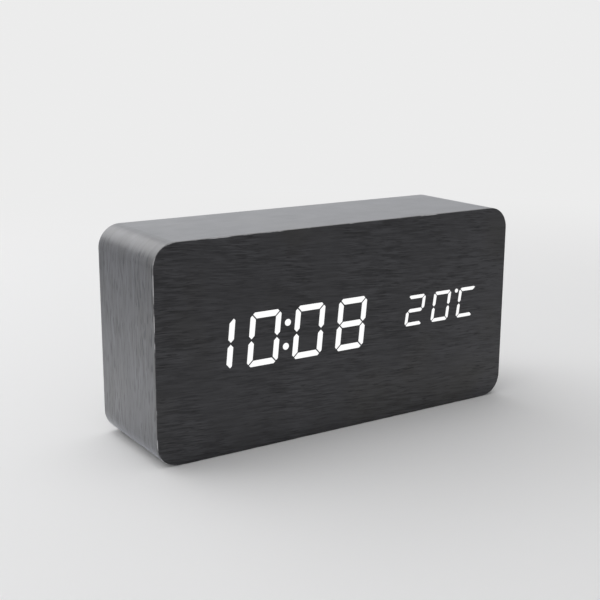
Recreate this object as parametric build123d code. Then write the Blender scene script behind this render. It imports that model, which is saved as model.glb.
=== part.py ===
from build123d import *
from dataclasses import dataclass
import math
import os

# Digital LED desk clock. The case is a block milled from board and wrapped in black wood-grain
# film, with a thin veneered fascia over the whole front. A seven-segment display lies behind the
# fascia, and a moulded back cover carries the battery bay, the buttons and the power socket.
# Millimetres. X runs along the width, Y from the front to the back and Z upwards. The origin is
# on the ground under the middle of the case.

# Case and fascia
CASE_WIDTH = 150.0
CASE_HEIGHT = 75.0
CASE_DEPTH = 43.0
CASE_CORNER_RADIUS = 8.1
CASE_EDGE_ROUND = 0.3
CASE_WALL = 6.0             # side, top and bottom walls
FRONT_WALL = 6.0            # wall that holds the display
FASCIA_THICKNESS = 1.2
SCREW_POST = 8.0            # side of the square post left in each corner

# Row of digits across the front. The digits share the room that these insets and gaps leave.
DISPLAY_LEFT_INSET = 16.6   # from the case side to the first digit
DISPLAY_RIGHT_INSET = 14.95
TIME_GAP = 5.9              # between neighbouring digits of the time
GROUP_GAP = 18.9            # between the time and the temperature
TEMPERATURE_GAP = 4.1
TEMPERATURE_WIDTH_RATIO = 0.68  # of a temperature digit to a time digit

# Time digits, as outlines on the front face
TIME_SIGNS = ("one", "zero", "zero", "eight")
TIME_DIGIT_HEIGHT = 18.8
TIME_STROKE = 2.08
TIME_SEGMENT_GAP = 0.5
TIME_CORNER_CUT = 1.55
TIME_SLANT = 5.6            # degrees
TIME_RISE = 1.3             # above the middle of the case
COLON_DOT_RADIUS = 1.2
COLON_SPREAD = 8.4          # between the two dots

# Temperature digits
TEMPERATURE_SIGNS = ("two", "zero", "letter_c")
TEMPERATURE_DIGIT_HEIGHT = 11.4
TEMPERATURE_STROKE = 1.27
TEMPERATURE_SEGMENT_GAP = 0.36
TEMPERATURE_CORNER_CUT = 1.0
TEMPERATURE_SLANT = 8.0     # degrees
TEMPERATURE_RISE = 2.35
DEGREE_DOT_RADIUS = 0.75
DEGREE_DOT_BACK = 1.5       # from the edge of the letter, towards the digits
DEGREE_DOT_DROP = 0.75      # below the top of the letter

# Display module
LENS_DEPTH = 3.5            # light pipe behind the fascia
LENS_CLEARANCE = 0.04
REFLECTOR_MARGIN = 3.0
REFLECTOR_CLEARANCE = 0.2
LED_SIDE = 1.0
LED_HEIGHT = 0.6
DISPLAY_BOARD_SIDE_MARGIN = 1.5
DISPLAY_BOARD_MARGIN = 5.0  # above and below the reflector
DISPLAY_SCREW_INSET = 8.0   # from the ends of the display board
BOARD_THICKNESS = 1.6
CHIP_LENGTH = 18.0
CHIP_WIDTH = 7.5
CHIP_HEIGHT = 2.4
CHIP_LEAD_PITCH = 1.27
CHIP_LEAD_WIDTH = 0.45
CHIP_LEAD_REACH = 1.3
CHIP_LEAD_THICKNESS = 0.25
CHIP_LEADS = 14             # along each side
CHIP_X = 20.0
CRYSTAL_RADIUS = 1.5
CRYSTAL_HEIGHT = 6.0
CRYSTAL_GAP = 4.0           # from the chip's leads

# Back cover
COVER_THICKNESS = 3.0
COVER_INSET = 1.0           # below the back rim of the case
COVER_LAP = 2.0             # over the shoulder milled in the case walls
COVER_GAP = 0.2
COVER_EDGE_CUT = 0.4

# Self-tapping screws
SCREW_SHANK_RADIUS = 1.25
SCREW_HEAD_RADIUS = 2.5
SCREW_HEAD_HEIGHT = 1.4
SCREW_LENGTH = 10.0
SCREW_CROSS_LENGTH = 2.8
SCREW_CROSS_WIDTH = 0.6
SCREW_CROSS_DEPTH = 0.7
SMALL_SHANK_RADIUS = 0.9
SMALL_HEAD_RADIUS = 1.8
SMALL_HEAD_HEIGHT = 1.1
SMALL_LENGTH = 4.5          # in the seat, past the board
SCREW_FIT = 0.05            # round the shank in its hole
HEAD_CLEARANCE = 0.15       # round the head in its counterbore

# Battery bay, door and cells
CELL_COUNT = 4
CELL_RADIUS = 5.25
CELL_LENGTH = 44.5          # with the nub
CELL_NUB_RADIUS = 1.9
CELL_NUB_LENGTH = 1.0
CELL_EDGE_CUT = 0.5
CELL_GAP = 0.6              # between neighbouring cells
CELL_DOOR_GAP = 0.4
CELL_FLOOR_GAP = 0.2
BAY_WALL = 1.5
BAY_LEDGE = 1.2             # that the door closes on
BAY_POST_GAP = 2.0          # from the corner posts of the case
BAY_RIB_WIDTH = 1.0
BAY_RIB_HEIGHT = 2.6
BAY_RIB_END = 11.0          # from the ends of the cells
CONTACT_THICKNESS = 0.4
CONTACT_SIDE = 8.0
CONTACT_DIMPLE_RADIUS = 2.2
CONTACT_DIMPLE_HEIGHT = 0.3
CONTACT_BOW = 2.6           # spring side
CONTACT_BOW_SPAN = 6.4
CONTACT_BOW_WIDTH = 5.0
CONTACT_CELL_GAP = 0.05
LUG_WIDTH = 2.0
LUG_REACH = 2.0             # past the wall of the bay
LUG_RISE = 2.5              # from the middle of the cell, towards the cover
LUG_CLEARANCE = 0.2
DOOR_THICKNESS = 1.9
DOOR_GAP = 0.3
DOOR_PIN_RADIUS = 0.6
DOOR_PIN_LENGTH = 1.5
DOOR_PIN_CLEARANCE = 0.07
DOOR_GRIP_RIBS = 4
DOOR_GRIP_LENGTH = 16.0
DOOR_GRIP_WIDTH = 0.8
DOOR_GRIP_HEIGHT = 0.4
DOOR_GRIP_PITCH = 2.0
DOOR_GRIP_INSET = 4.0       # of the first rib from the free edge
DOOR_NIB_LENGTH = 6.0
DOOR_NIB_HEIGHT = 0.2
FINGER_NOTCH_RADIUS = 6.0
FINGER_NOTCH_DEPTH = 1.4

# Control board, behind the cover
CONTROL_BOARD_WIDTH = 38.0
CONTROL_BOARD_HEIGHT = 40.0
CONTROL_BOARD_GAP = 2.0     # from the corner posts of the case
BOSS_RADIUS = 2.5
BOSS_INSET = 2.8            # from the edges of the control board
BOSS_RISE = 3.0             # of the boss beside the bay, above the middle of the board

# Buttons and their key switches
BUTTON_PITCH = 11.5
BUTTON_ROW = 10.5           # above the middle of the control board
BUTTON_RADIUS = 3.0
BUTTON_CLEARANCE = 0.2
BUTTON_PROUD = 0.7          # of the cover
BUTTON_TRAVEL = 0.5
BUTTON_EDGE_CUT = 0.4
BUTTON_FLANGE_RADIUS = 4.0
BUTTON_FLANGE_HEIGHT = 1.0
BUTTON_FLANGE_GAP = 0.1     # to the inside of the cover
SWITCH_SIDE = 6.0
SWITCH_HEIGHT = 3.5
SWITCH_BASE = 0.8           # left under the plunger's hole
PLUNGER_RADIUS = 1.7
PLUNGER_REACH = 1.5         # above the switch housing
PLUNGER_DEPTH = 1.6         # inside the switch housing
PLUNGER_CLEARANCE = 0.1
BUTTON_RING_WIDTH = 1.0     # shallow ring moulded round each button
BUTTON_RING_DEPTH = 0.4

# Sound switch
SLIDE_BACK = 10.5           # from the middle of the control board, towards the case side
SLIDE_ROW = -3.5
SLIDE_TRAVEL = 2.5
SLIDE_HOUSING_WIDTH = 9.0
SLIDE_HOUSING_HEIGHT = 4.6
SLIDE_HOUSING_DEPTH = 4.7
SLIDE_TOP = 0.8             # top of the housing, over the knob's foot
SLIDE_FOOT_WIDTH = 3.4
SLIDE_FOOT_HEIGHT = 2.8
SLIDE_FOOT_DEPTH = 2.0
SLIDE_KNOB_WIDTH = 2.2
SLIDE_KNOB_HEIGHT = 1.8
SLIDE_KNOB_PROUD = 0.6
SLIDE_CLEARANCE = 0.15
SLIDE_RECESS_WIDTH = 9.0
SLIDE_RECESS_HEIGHT = 5.0
SLIDE_RECESS_DEPTH = 0.8
SLIDE_RECESS_RADIUS = 1.2

# Power socket
SOCKET_OUT = 10.0           # from the middle of the control board, towards the bay
SOCKET_ROW = -3.5
SOCKET_WIDTH = 7.6
SOCKET_HEIGHT = 2.8
SOCKET_CORNER_CUT = 1.1
SOCKET_WALL = 0.3
SOCKET_RECESS = 1.3         # of its mouth below the outside of the cover
SOCKET_CLEARANCE = 0.25
SOCKET_CORE_DEPTH = 2.0
SOCKET_TONGUE_WIDTH = 3.8
SOCKET_TONGUE_HEIGHT = 0.6
SOCKET_TONGUE_RISE = 0.35
SOCKET_TONGUE_SHY = 1.0     # of the mouth
SOCKET_PLUG_WIDTH = 12.0    # shallow recess for the plug's grip
SOCKET_PLUG_HEIGHT = 7.5
SOCKET_PLUG_DEPTH = 0.8
SOCKET_PLUG_RADIUS = 1.8

# Sensors, buzzer and vents
MICROPHONE_RADIUS = 3.0
MICROPHONE_HEIGHT = 2.7
MICROPHONE_ROW = -3.5
MICROPHONE_PORT_RADIUS = 0.9
VENT_ROW = -13.5
VENT_COUNT = 7
VENT_PITCH = 4.0
VENT_WIDTH = 1.5
VENT_LENGTH = 8.0
BUZZER_RADIUS = 4.6
BUZZER_HEIGHT = 5.0
BUZZER_PORT_RADIUS = 0.8
BUZZER_PORT_DEPTH = 1.2
BUZZER_BOSS_GAP = 1.1       # from the boss at the case side
BEAD_RADIUS = 1.3
BEAD_HEIGHT = 3.5           # of its middle above the board
BEAD_LEAD_RADIUS = 0.25
BEAD_LEAD_PITCH = 1.2
BEAD_OUT = 8.0              # from the middle of the control board

# Ribbon between the boards and battery leads
HEADER_WIDTH = 14.0
HEADER_HEIGHT = 5.0
HEADER_DEPTH = 5.0
RIBBON_WIDTH = 11.0
RIBBON_THICKNESS = 0.8
RIBBON_STEP = 12.0          # between the two headers, upwards
RIBBON_BEND_RADIUS = 4.0    # or what the room between the headers allows
RIBBON_BEND_SHARE = 0.8     # of half that room, at most
LEAD_RADIUS = 0.6
LEAD_PAD_INSET = 17.0       # from the edge of the control board
LEAD_BEND_SHARE = 0.6       # bend radius, of the lead's drop to the board

# Levels along Y
FRONT_Y = -CASE_DEPTH / 2
BACK_Y = CASE_DEPTH / 2
CASE_FRONT_Y = FRONT_Y + FASCIA_THICKNESS
WALL_BACK_Y = CASE_FRONT_Y + FRONT_WALL
DISPLAY_BOARD_BACK_Y = WALL_BACK_Y + BOARD_THICKNESS
COVER_OUT_Y = BACK_Y - COVER_INSET
COVER_IN_Y = COVER_OUT_Y - COVER_THICKNESS
DOOR_IN_Y = COVER_OUT_Y - DOOR_THICKNESS
CELL_Y = DOOR_IN_Y - CELL_DOOR_GAP - CELL_RADIUS
BAY_FLOOR_Y = CELL_Y - CELL_RADIUS - CELL_FLOOR_GAP
FLANGE_TOP_Y = COVER_IN_Y - BUTTON_FLANGE_GAP
PLUNGER_TOP_Y = FLANGE_TOP_Y - BUTTON_FLANGE_HEIGHT
SWITCH_TOP_Y = PLUNGER_TOP_Y - PLUNGER_REACH
CONTROL_FACE_Y = SWITCH_TOP_Y - SWITCH_HEIGHT
CONTROL_BACK_Y = CONTROL_FACE_Y - BOARD_THICKNESS

# Places across the face
MID_Z = CASE_HEIGHT / 2
POST_X = CASE_WIDTH / 2 - CASE_WALL - SCREW_POST / 2
POST_RISE = CASE_HEIGHT / 2 - CASE_WALL - SCREW_POST / 2
POSTS = [(side * POST_X, MID_Z + up * POST_RISE) for side in (-1, 1) for up in (-1, 1)]
COVER_WIDTH = CASE_WIDTH - 2 * (CASE_WALL - COVER_LAP)
COVER_HEIGHT = CASE_HEIGHT - 2 * (CASE_WALL - COVER_LAP)
COVER_RADIUS = max(CASE_CORNER_RADIUS - CASE_WALL + COVER_LAP, COVER_LAP)
CELL_PITCH = 2 * CELL_RADIUS + CELL_GAP
BAY_LENGTH = (
    2 * CONTACT_THICKNESS + CONTACT_DIMPLE_HEIGHT + CELL_LENGTH + CONTACT_CELL_GAP + CONTACT_BOW
)
BAY_HEIGHT = CELL_COUNT * CELL_PITCH + CELL_GAP
BAY_X = POST_X - SCREW_POST / 2 - BAY_POST_GAP - BAY_WALL - BAY_LEDGE - BAY_LENGTH / 2
BAY_LEFT_X = BAY_X - BAY_LENGTH / 2
BAY_RIGHT_X = BAY_X + BAY_LENGTH / 2
CELL_ZS = [MID_Z + (i - (CELL_COUNT - 1) / 2) * CELL_PITCH for i in range(CELL_COUNT)]
CONTROL_X = -POST_X + SCREW_POST / 2 + CONTROL_BOARD_GAP + CONTROL_BOARD_WIDTH / 2
CONTROL_Z = MID_Z
BUTTON_XS = [CONTROL_X + step * BUTTON_PITCH for step in (1, 0, -1)]
BUTTON_Z = CONTROL_Z + BUTTON_ROW
SLIDE_X = CONTROL_X - SLIDE_BACK
SLIDE_Z = CONTROL_Z + SLIDE_ROW
SOCKET_X = CONTROL_X + SOCKET_OUT
SOCKET_Z = CONTROL_Z + SOCKET_ROW
MICROPHONE_Z = CONTROL_Z + MICROPHONE_ROW
VENT_Z = CONTROL_Z + VENT_ROW
BOSS_REACH = CONTROL_BOARD_WIDTH / 2 - BOSS_INSET
BOSSES = [
    (CONTROL_X - BOSS_REACH, CONTROL_Z + CONTROL_BOARD_HEIGHT / 2 - BOSS_INSET),
    (CONTROL_X - BOSS_REACH, CONTROL_Z - CONTROL_BOARD_HEIGHT / 2 + BOSS_INSET),
    (CONTROL_X + BOSS_REACH, CONTROL_Z + BOSS_RISE),
]
TIME_Z = MID_Z + TIME_RISE
TEMPERATURE_Z = MID_Z + TEMPERATURE_RISE
DIGIT_ROOM = (
    CASE_WIDTH
    - DISPLAY_LEFT_INSET
    - DISPLAY_RIGHT_INSET
    - GROUP_GAP
    - (len(TIME_SIGNS) - 1) * TIME_GAP
    - (len(TEMPERATURE_SIGNS) - 1) * TEMPERATURE_GAP
)
TIME_DIGIT_WIDTH = DIGIT_ROOM / (len(TIME_SIGNS) + len(TEMPERATURE_SIGNS) * TEMPERATURE_WIDTH_RATIO)
TEMPERATURE_DIGIT_WIDTH = TIME_DIGIT_WIDTH * TEMPERATURE_WIDTH_RATIO
TIME_PITCH = TIME_DIGIT_WIDTH + TIME_GAP
TIME_FIRST_X = -CASE_WIDTH / 2 + DISPLAY_LEFT_INSET + TIME_DIGIT_WIDTH / 2
TEMPERATURE_PITCH = TEMPERATURE_DIGIT_WIDTH + TEMPERATURE_GAP
TEMPERATURE_LAST_X = CASE_WIDTH / 2 - DISPLAY_RIGHT_INSET - TEMPERATURE_DIGIT_WIDTH / 2
TEMPERATURE_FIRST_X = TEMPERATURE_LAST_X - (len(TEMPERATURE_SIGNS) - 1) * TEMPERATURE_PITCH

LIT_SEGMENTS = {
    "zero": "abcdef",
    "one": "bc",
    "two": "abdeg",
    "eight": "abcdefg",
    "letter_c": "adef",
}
TIME_NAMES = ["hour_tens", "hour_units", "minute_tens", "minute_units"]
TEMPERATURE_NAMES = ["temperature_tens", "temperature_units", "celsius"]


@dataclass(frozen=True)
class DigitStyle:
    """The form of one size of seven-segment digit."""

    width: float
    height: float
    stroke: float
    gap: float
    corner_cut: float
    slant: float


TIME_STYLE = DigitStyle(
    TIME_DIGIT_WIDTH, TIME_DIGIT_HEIGHT, TIME_STROKE, TIME_SEGMENT_GAP, TIME_CORNER_CUT, TIME_SLANT
)
TEMPERATURE_STYLE = DigitStyle(
    TEMPERATURE_DIGIT_WIDTH,
    TEMPERATURE_DIGIT_HEIGHT,
    TEMPERATURE_STROKE,
    TEMPERATURE_SEGMENT_GAP,
    TEMPERATURE_CORNER_CUT,
    TEMPERATURE_SLANT,
)


def slab(outline, y_front, y_back):
    """An outline drawn in X and Z, made solid between two levels along Y."""
    plane = Plane(origin=(0, y_back, 0), x_dir=(1, 0, 0), z_dir=(0, -1, 0))
    return extrude(plane * outline, amount=y_back - y_front, dir=(0, -1, 0))


def rounded(width, height, radius, x, z):
    """A rectangle with rounded corners about (x, z)."""
    return Pos(x, z) * RectangleRounded(width, height, radius)


def plain(width, height, x, z):
    """A rectangle about (x, z)."""
    return Pos(x, z) * Rectangle(width, height)


def disc(radius, x, z):
    """A circle about (x, z)."""
    return Pos(x, z) * Circle(radius)


def upright_slot(length, width, x, z):
    """A slot with round ends about (x, z), standing upright."""
    return Pos(x, z) * Rot(0, 0, 90) * SlotOverall(length, width)


def rod_x(radius, x_from, x_to, y, z):
    """A rod along X."""
    return Pos((x_from + x_to) / 2, y, z) * Rot(0, 90, 0) * Cylinder(radius, abs(x_to - x_from))


def rod_z(radius, x, y, z_from, z_to):
    """A rod along Z."""
    return Pos(x, y, (z_from + z_to) / 2) * Cylinder(radius, abs(z_to - z_from))


def edges_at(part, y):
    """The edges of a part that lie in the plane at one level along Y."""
    return part.edges().filter_by_position(Axis.Y, y - 0.001, y + 0.001)


def segment_outlines(style):
    """The outlines of the segments a to g about the digit's middle, before the slant."""
    half_w = style.width / 2
    half_h = style.height / 2
    stroke = style.stroke
    cut = style.corner_cut
    mitre = style.gap / math.sqrt(2)
    tip = half_w - stroke / 2 - mitre
    top = [
        (-half_w + cut, half_h),
        (-half_w + (cut + mitre) / 2, half_h - (cut - mitre) / 2),
        (-half_w + stroke + mitre, half_h - stroke),
        (half_w - stroke - mitre, half_h - stroke),
        (half_w - (cut + mitre) / 2, half_h - (cut - mitre) / 2),
        (half_w - cut, half_h),
    ]
    side = [
        (-half_w, half_h - cut),
        (-half_w, mitre + stroke / 2),
        (-half_w + stroke / 2, mitre),
        (-half_w + stroke, mitre + stroke / 2),
        (-half_w + stroke, half_h - stroke - mitre),
        (-half_w + (cut - mitre) / 2, half_h - (cut + mitre) / 2),
    ]
    middle = [
        (-tip, 0),
        (-tip + stroke / 2, -stroke / 2),
        (tip - stroke / 2, -stroke / 2),
        (tip, 0),
        (tip - stroke / 2, stroke / 2),
        (-tip + stroke / 2, stroke / 2),
    ]
    flip_x = lambda points: [(-x, z) for x, z in reversed(points)]
    flip_z = lambda points: [(x, -z) for x, z in reversed(points)]
    return {
        "a": top,
        "b": flip_x(side),
        "c": flip_x(flip_z(side)),
        "d": flip_z(top),
        "e": flip_z(side),
        "f": side,
        "g": middle,
    }


def digit_faces(style, x, z):
    """The segments of one digit as faces on the front, keyed a to g."""
    lean = math.tan(math.radians(style.slant))
    faces = {}
    for letter, points in segment_outlines(style).items():
        faces[letter] = Polygon(*[(x + px + pz * lean, z + pz) for px, pz in points])
    return faces


def display_faces():
    """All faces of the display: the lit ones by node name, and the dark ones in one list."""
    lit = {}
    dark = []
    rows = [
        (TIME_SIGNS, TIME_NAMES, TIME_STYLE, TIME_FIRST_X, TIME_PITCH, TIME_Z),
        (
            TEMPERATURE_SIGNS,
            TEMPERATURE_NAMES,
            TEMPERATURE_STYLE,
            TEMPERATURE_FIRST_X,
            TEMPERATURE_PITCH,
            TEMPERATURE_Z,
        ),
    ]
    for signs, names, style, first_x, pitch, z in rows:
        for index, sign in enumerate(signs):
            faces = digit_faces(style, first_x + index * pitch, z)
            lit[names[index] + "_segments"] = [faces[s] for s in faces if s in LIT_SEGMENTS[sign]]
            dark += [faces[s] for s in faces if s not in LIT_SEGMENTS[sign]]
    colon_x = TIME_FIRST_X + TIME_PITCH + TIME_PITCH / 2
    lean = math.tan(math.radians(TIME_SLANT))
    lit["colon_dots"] = []
    for up in (-1, 1):
        rise = up * COLON_SPREAD / 2
        lit["colon_dots"].append(disc(COLON_DOT_RADIUS, colon_x + rise * lean, TIME_Z + rise))
    rise = TEMPERATURE_DIGIT_HEIGHT / 2 - DEGREE_DOT_DROP
    lean = math.tan(math.radians(TEMPERATURE_SLANT))
    dot_x = TEMPERATURE_LAST_X - TEMPERATURE_DIGIT_WIDTH / 2 - DEGREE_DOT_BACK + rise * lean
    lit["degree_dot"] = [disc(DEGREE_DOT_RADIUS, dot_x, TEMPERATURE_Z + rise)]
    return lit, dark


LIT_FACES, DARK_FACES = display_faces()
ALL_FACES = [face for faces in LIT_FACES.values() for face in faces] + DARK_FACES

# The reflector reaches round all digits by its margin
TIME_REACH = TIME_DIGIT_WIDTH / 2 + TIME_DIGIT_HEIGHT / 2 * math.tan(math.radians(TIME_SLANT))
TEMPERATURE_REACH = (
    TEMPERATURE_DIGIT_WIDTH / 2
    + TEMPERATURE_DIGIT_HEIGHT / 2 * math.tan(math.radians(TEMPERATURE_SLANT))
)
REFLECTOR_LEFT = TIME_FIRST_X - TIME_REACH - REFLECTOR_MARGIN
REFLECTOR_RIGHT = TEMPERATURE_LAST_X + TEMPERATURE_REACH + REFLECTOR_MARGIN
REFLECTOR_TOP = max(
    TIME_Z + TIME_DIGIT_HEIGHT / 2, TEMPERATURE_Z + TEMPERATURE_DIGIT_HEIGHT / 2
) + REFLECTOR_MARGIN
REFLECTOR_BOTTOM = min(
    TIME_Z - TIME_DIGIT_HEIGHT / 2, TEMPERATURE_Z - TEMPERATURE_DIGIT_HEIGHT / 2
) - REFLECTOR_MARGIN
REFLECTOR_WIDTH = REFLECTOR_RIGHT - REFLECTOR_LEFT
REFLECTOR_HEIGHT = REFLECTOR_TOP - REFLECTOR_BOTTOM
REFLECTOR_X = (REFLECTOR_LEFT + REFLECTOR_RIGHT) / 2
REFLECTOR_Z = (REFLECTOR_TOP + REFLECTOR_BOTTOM) / 2
DISPLAY_BOARD_WIDTH = REFLECTOR_WIDTH + 2 * DISPLAY_BOARD_SIDE_MARGIN
DISPLAY_BOARD_HEIGHT = REFLECTOR_HEIGHT + 2 * DISPLAY_BOARD_MARGIN
DISPLAY_SCREWS = [
    (
        REFLECTOR_X + side * (DISPLAY_BOARD_WIDTH / 2 - DISPLAY_SCREW_INSET),
        REFLECTOR_Z + up * (DISPLAY_BOARD_HEIGHT - DISPLAY_BOARD_MARGIN) / 2,
    )
    for side in (-1, 1)
    for up in (-1, 1)
]
HEADER_X = CONTROL_X
HEADER_LOW_Z = CONTROL_Z - RIBBON_STEP / 2
HEADER_HIGH_Z = CONTROL_Z + RIBBON_STEP / 2


def grown(face, clearance):
    """A face widened all round by a clearance."""
    return offset(face, amount=clearance, kind=Kind.INTERSECTION)


def lenses(faces, y_front):
    """Light pipes of some segments, from a front level to the back of the lens."""
    return [slab(face, y_front, CASE_FRONT_Y + LENS_DEPTH) for face in faces]


def make_case():
    """The hollow block: a front wall with the display window, side walls and four screw posts."""
    outline = rounded(CASE_WIDTH, CASE_HEIGHT, CASE_CORNER_RADIUS, 0, MID_Z)
    case = slab(outline, CASE_FRONT_Y, BACK_Y)
    case = fillet(edges_at(case, BACK_Y), CASE_EDGE_ROUND)
    pocket = plain(CASE_WIDTH - 2 * CASE_WALL, CASE_HEIGHT - 2 * CASE_WALL, 0, MID_Z)
    for x, z in POSTS:
        pocket -= plain(SCREW_POST, SCREW_POST, x, z)
    case -= slab(pocket, WALL_BACK_Y, BACK_Y)
    seat = rounded(COVER_WIDTH, COVER_HEIGHT, COVER_RADIUS, 0, MID_Z)
    case -= slab(seat, COVER_IN_Y, BACK_Y)
    window = plain(
        REFLECTOR_WIDTH + 2 * REFLECTOR_CLEARANCE,
        REFLECTOR_HEIGHT + 2 * REFLECTOR_CLEARANCE,
        REFLECTOR_X,
        REFLECTOR_Z,
    )
    case -= slab(window, CASE_FRONT_Y, WALL_BACK_Y)
    hole = SCREW_SHANK_RADIUS + SCREW_FIT
    for x, z in POSTS:
        case -= slab(disc(hole, x, z), COVER_IN_Y - SCREW_LENGTH, COVER_IN_Y)
    hole = SMALL_SHANK_RADIUS + SCREW_FIT
    for x, z in DISPLAY_SCREWS:
        case -= slab(disc(hole, x, z), WALL_BACK_Y - SMALL_LENGTH, WALL_BACK_Y)
    return case


def make_fascia():
    """The veneered panel, with a window for each lit segment."""
    outline = rounded(CASE_WIDTH, CASE_HEIGHT, CASE_CORNER_RADIUS, 0, MID_Z)
    fascia = slab(outline, FRONT_Y, CASE_FRONT_Y)
    fascia = fillet(edges_at(fascia, FRONT_Y), CASE_EDGE_ROUND)
    windows = [
        slab(grown(face, LENS_CLEARANCE), FRONT_Y, CASE_FRONT_Y)
        for faces in LIT_FACES.values()
        for face in faces
    ]
    return fascia - windows


def make_reflector():
    """The block of wells behind the fascia, one well for each segment and dot."""
    outline = plain(REFLECTOR_WIDTH, REFLECTOR_HEIGHT, REFLECTOR_X, REFLECTOR_Z)
    block = slab(outline, CASE_FRONT_Y, WALL_BACK_Y)
    wells = [slab(grown(face, LENS_CLEARANCE), CASE_FRONT_Y, WALL_BACK_Y) for face in ALL_FACES]
    return block - wells


def make_leds():
    """One chip at the foot of each well, on the display board."""
    chips = []
    for face in ALL_FACES:
        middle = face.center()
        chip = plain(LED_SIDE, LED_SIDE, middle.X, middle.Y)
        chips.append(slab(chip, WALL_BACK_Y - LED_HEIGHT, WALL_BACK_Y))
    return chips


def make_display_board():
    """The board that closes the display window from behind."""
    outline = plain(DISPLAY_BOARD_WIDTH, DISPLAY_BOARD_HEIGHT, REFLECTOR_X, REFLECTOR_Z)
    board = slab(outline, WALL_BACK_Y, DISPLAY_BOARD_BACK_Y)
    for x, z in DISPLAY_SCREWS:
        hole = disc(SMALL_SHANK_RADIUS + SCREW_FIT, x, z)
        board -= slab(hole, WALL_BACK_Y, DISPLAY_BOARD_BACK_Y)
    return board


def make_chip():
    """The clock chip with a row of bent leads along each long side."""
    y_top = DISPLAY_BOARD_BACK_Y + CHIP_HEIGHT
    foot_y = DISPLAY_BOARD_BACK_Y + CHIP_LEAD_THICKNESS
    chip = slab(plain(CHIP_LENGTH, CHIP_WIDTH, CHIP_X, REFLECTOR_Z), foot_y, y_top)
    for index in range(CHIP_LEADS):
        x = CHIP_X + (index - (CHIP_LEADS - 1) / 2) * CHIP_LEAD_PITCH
        reach = CHIP_WIDTH + 2 * CHIP_LEAD_REACH
        chip += slab(plain(CHIP_LEAD_WIDTH, reach, x, REFLECTOR_Z), DISPLAY_BOARD_BACK_Y, foot_y)
    return chip


def make_crystal():
    """The crystal's can, standing on the display board beside the chip."""
    z = REFLECTOR_Z + CHIP_WIDTH / 2 + CHIP_LEAD_REACH + CRYSTAL_GAP
    can = slab(
        disc(CRYSTAL_RADIUS, CHIP_X, z), DISPLAY_BOARD_BACK_Y, DISPLAY_BOARD_BACK_Y + CRYSTAL_HEIGHT
    )
    return can


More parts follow.
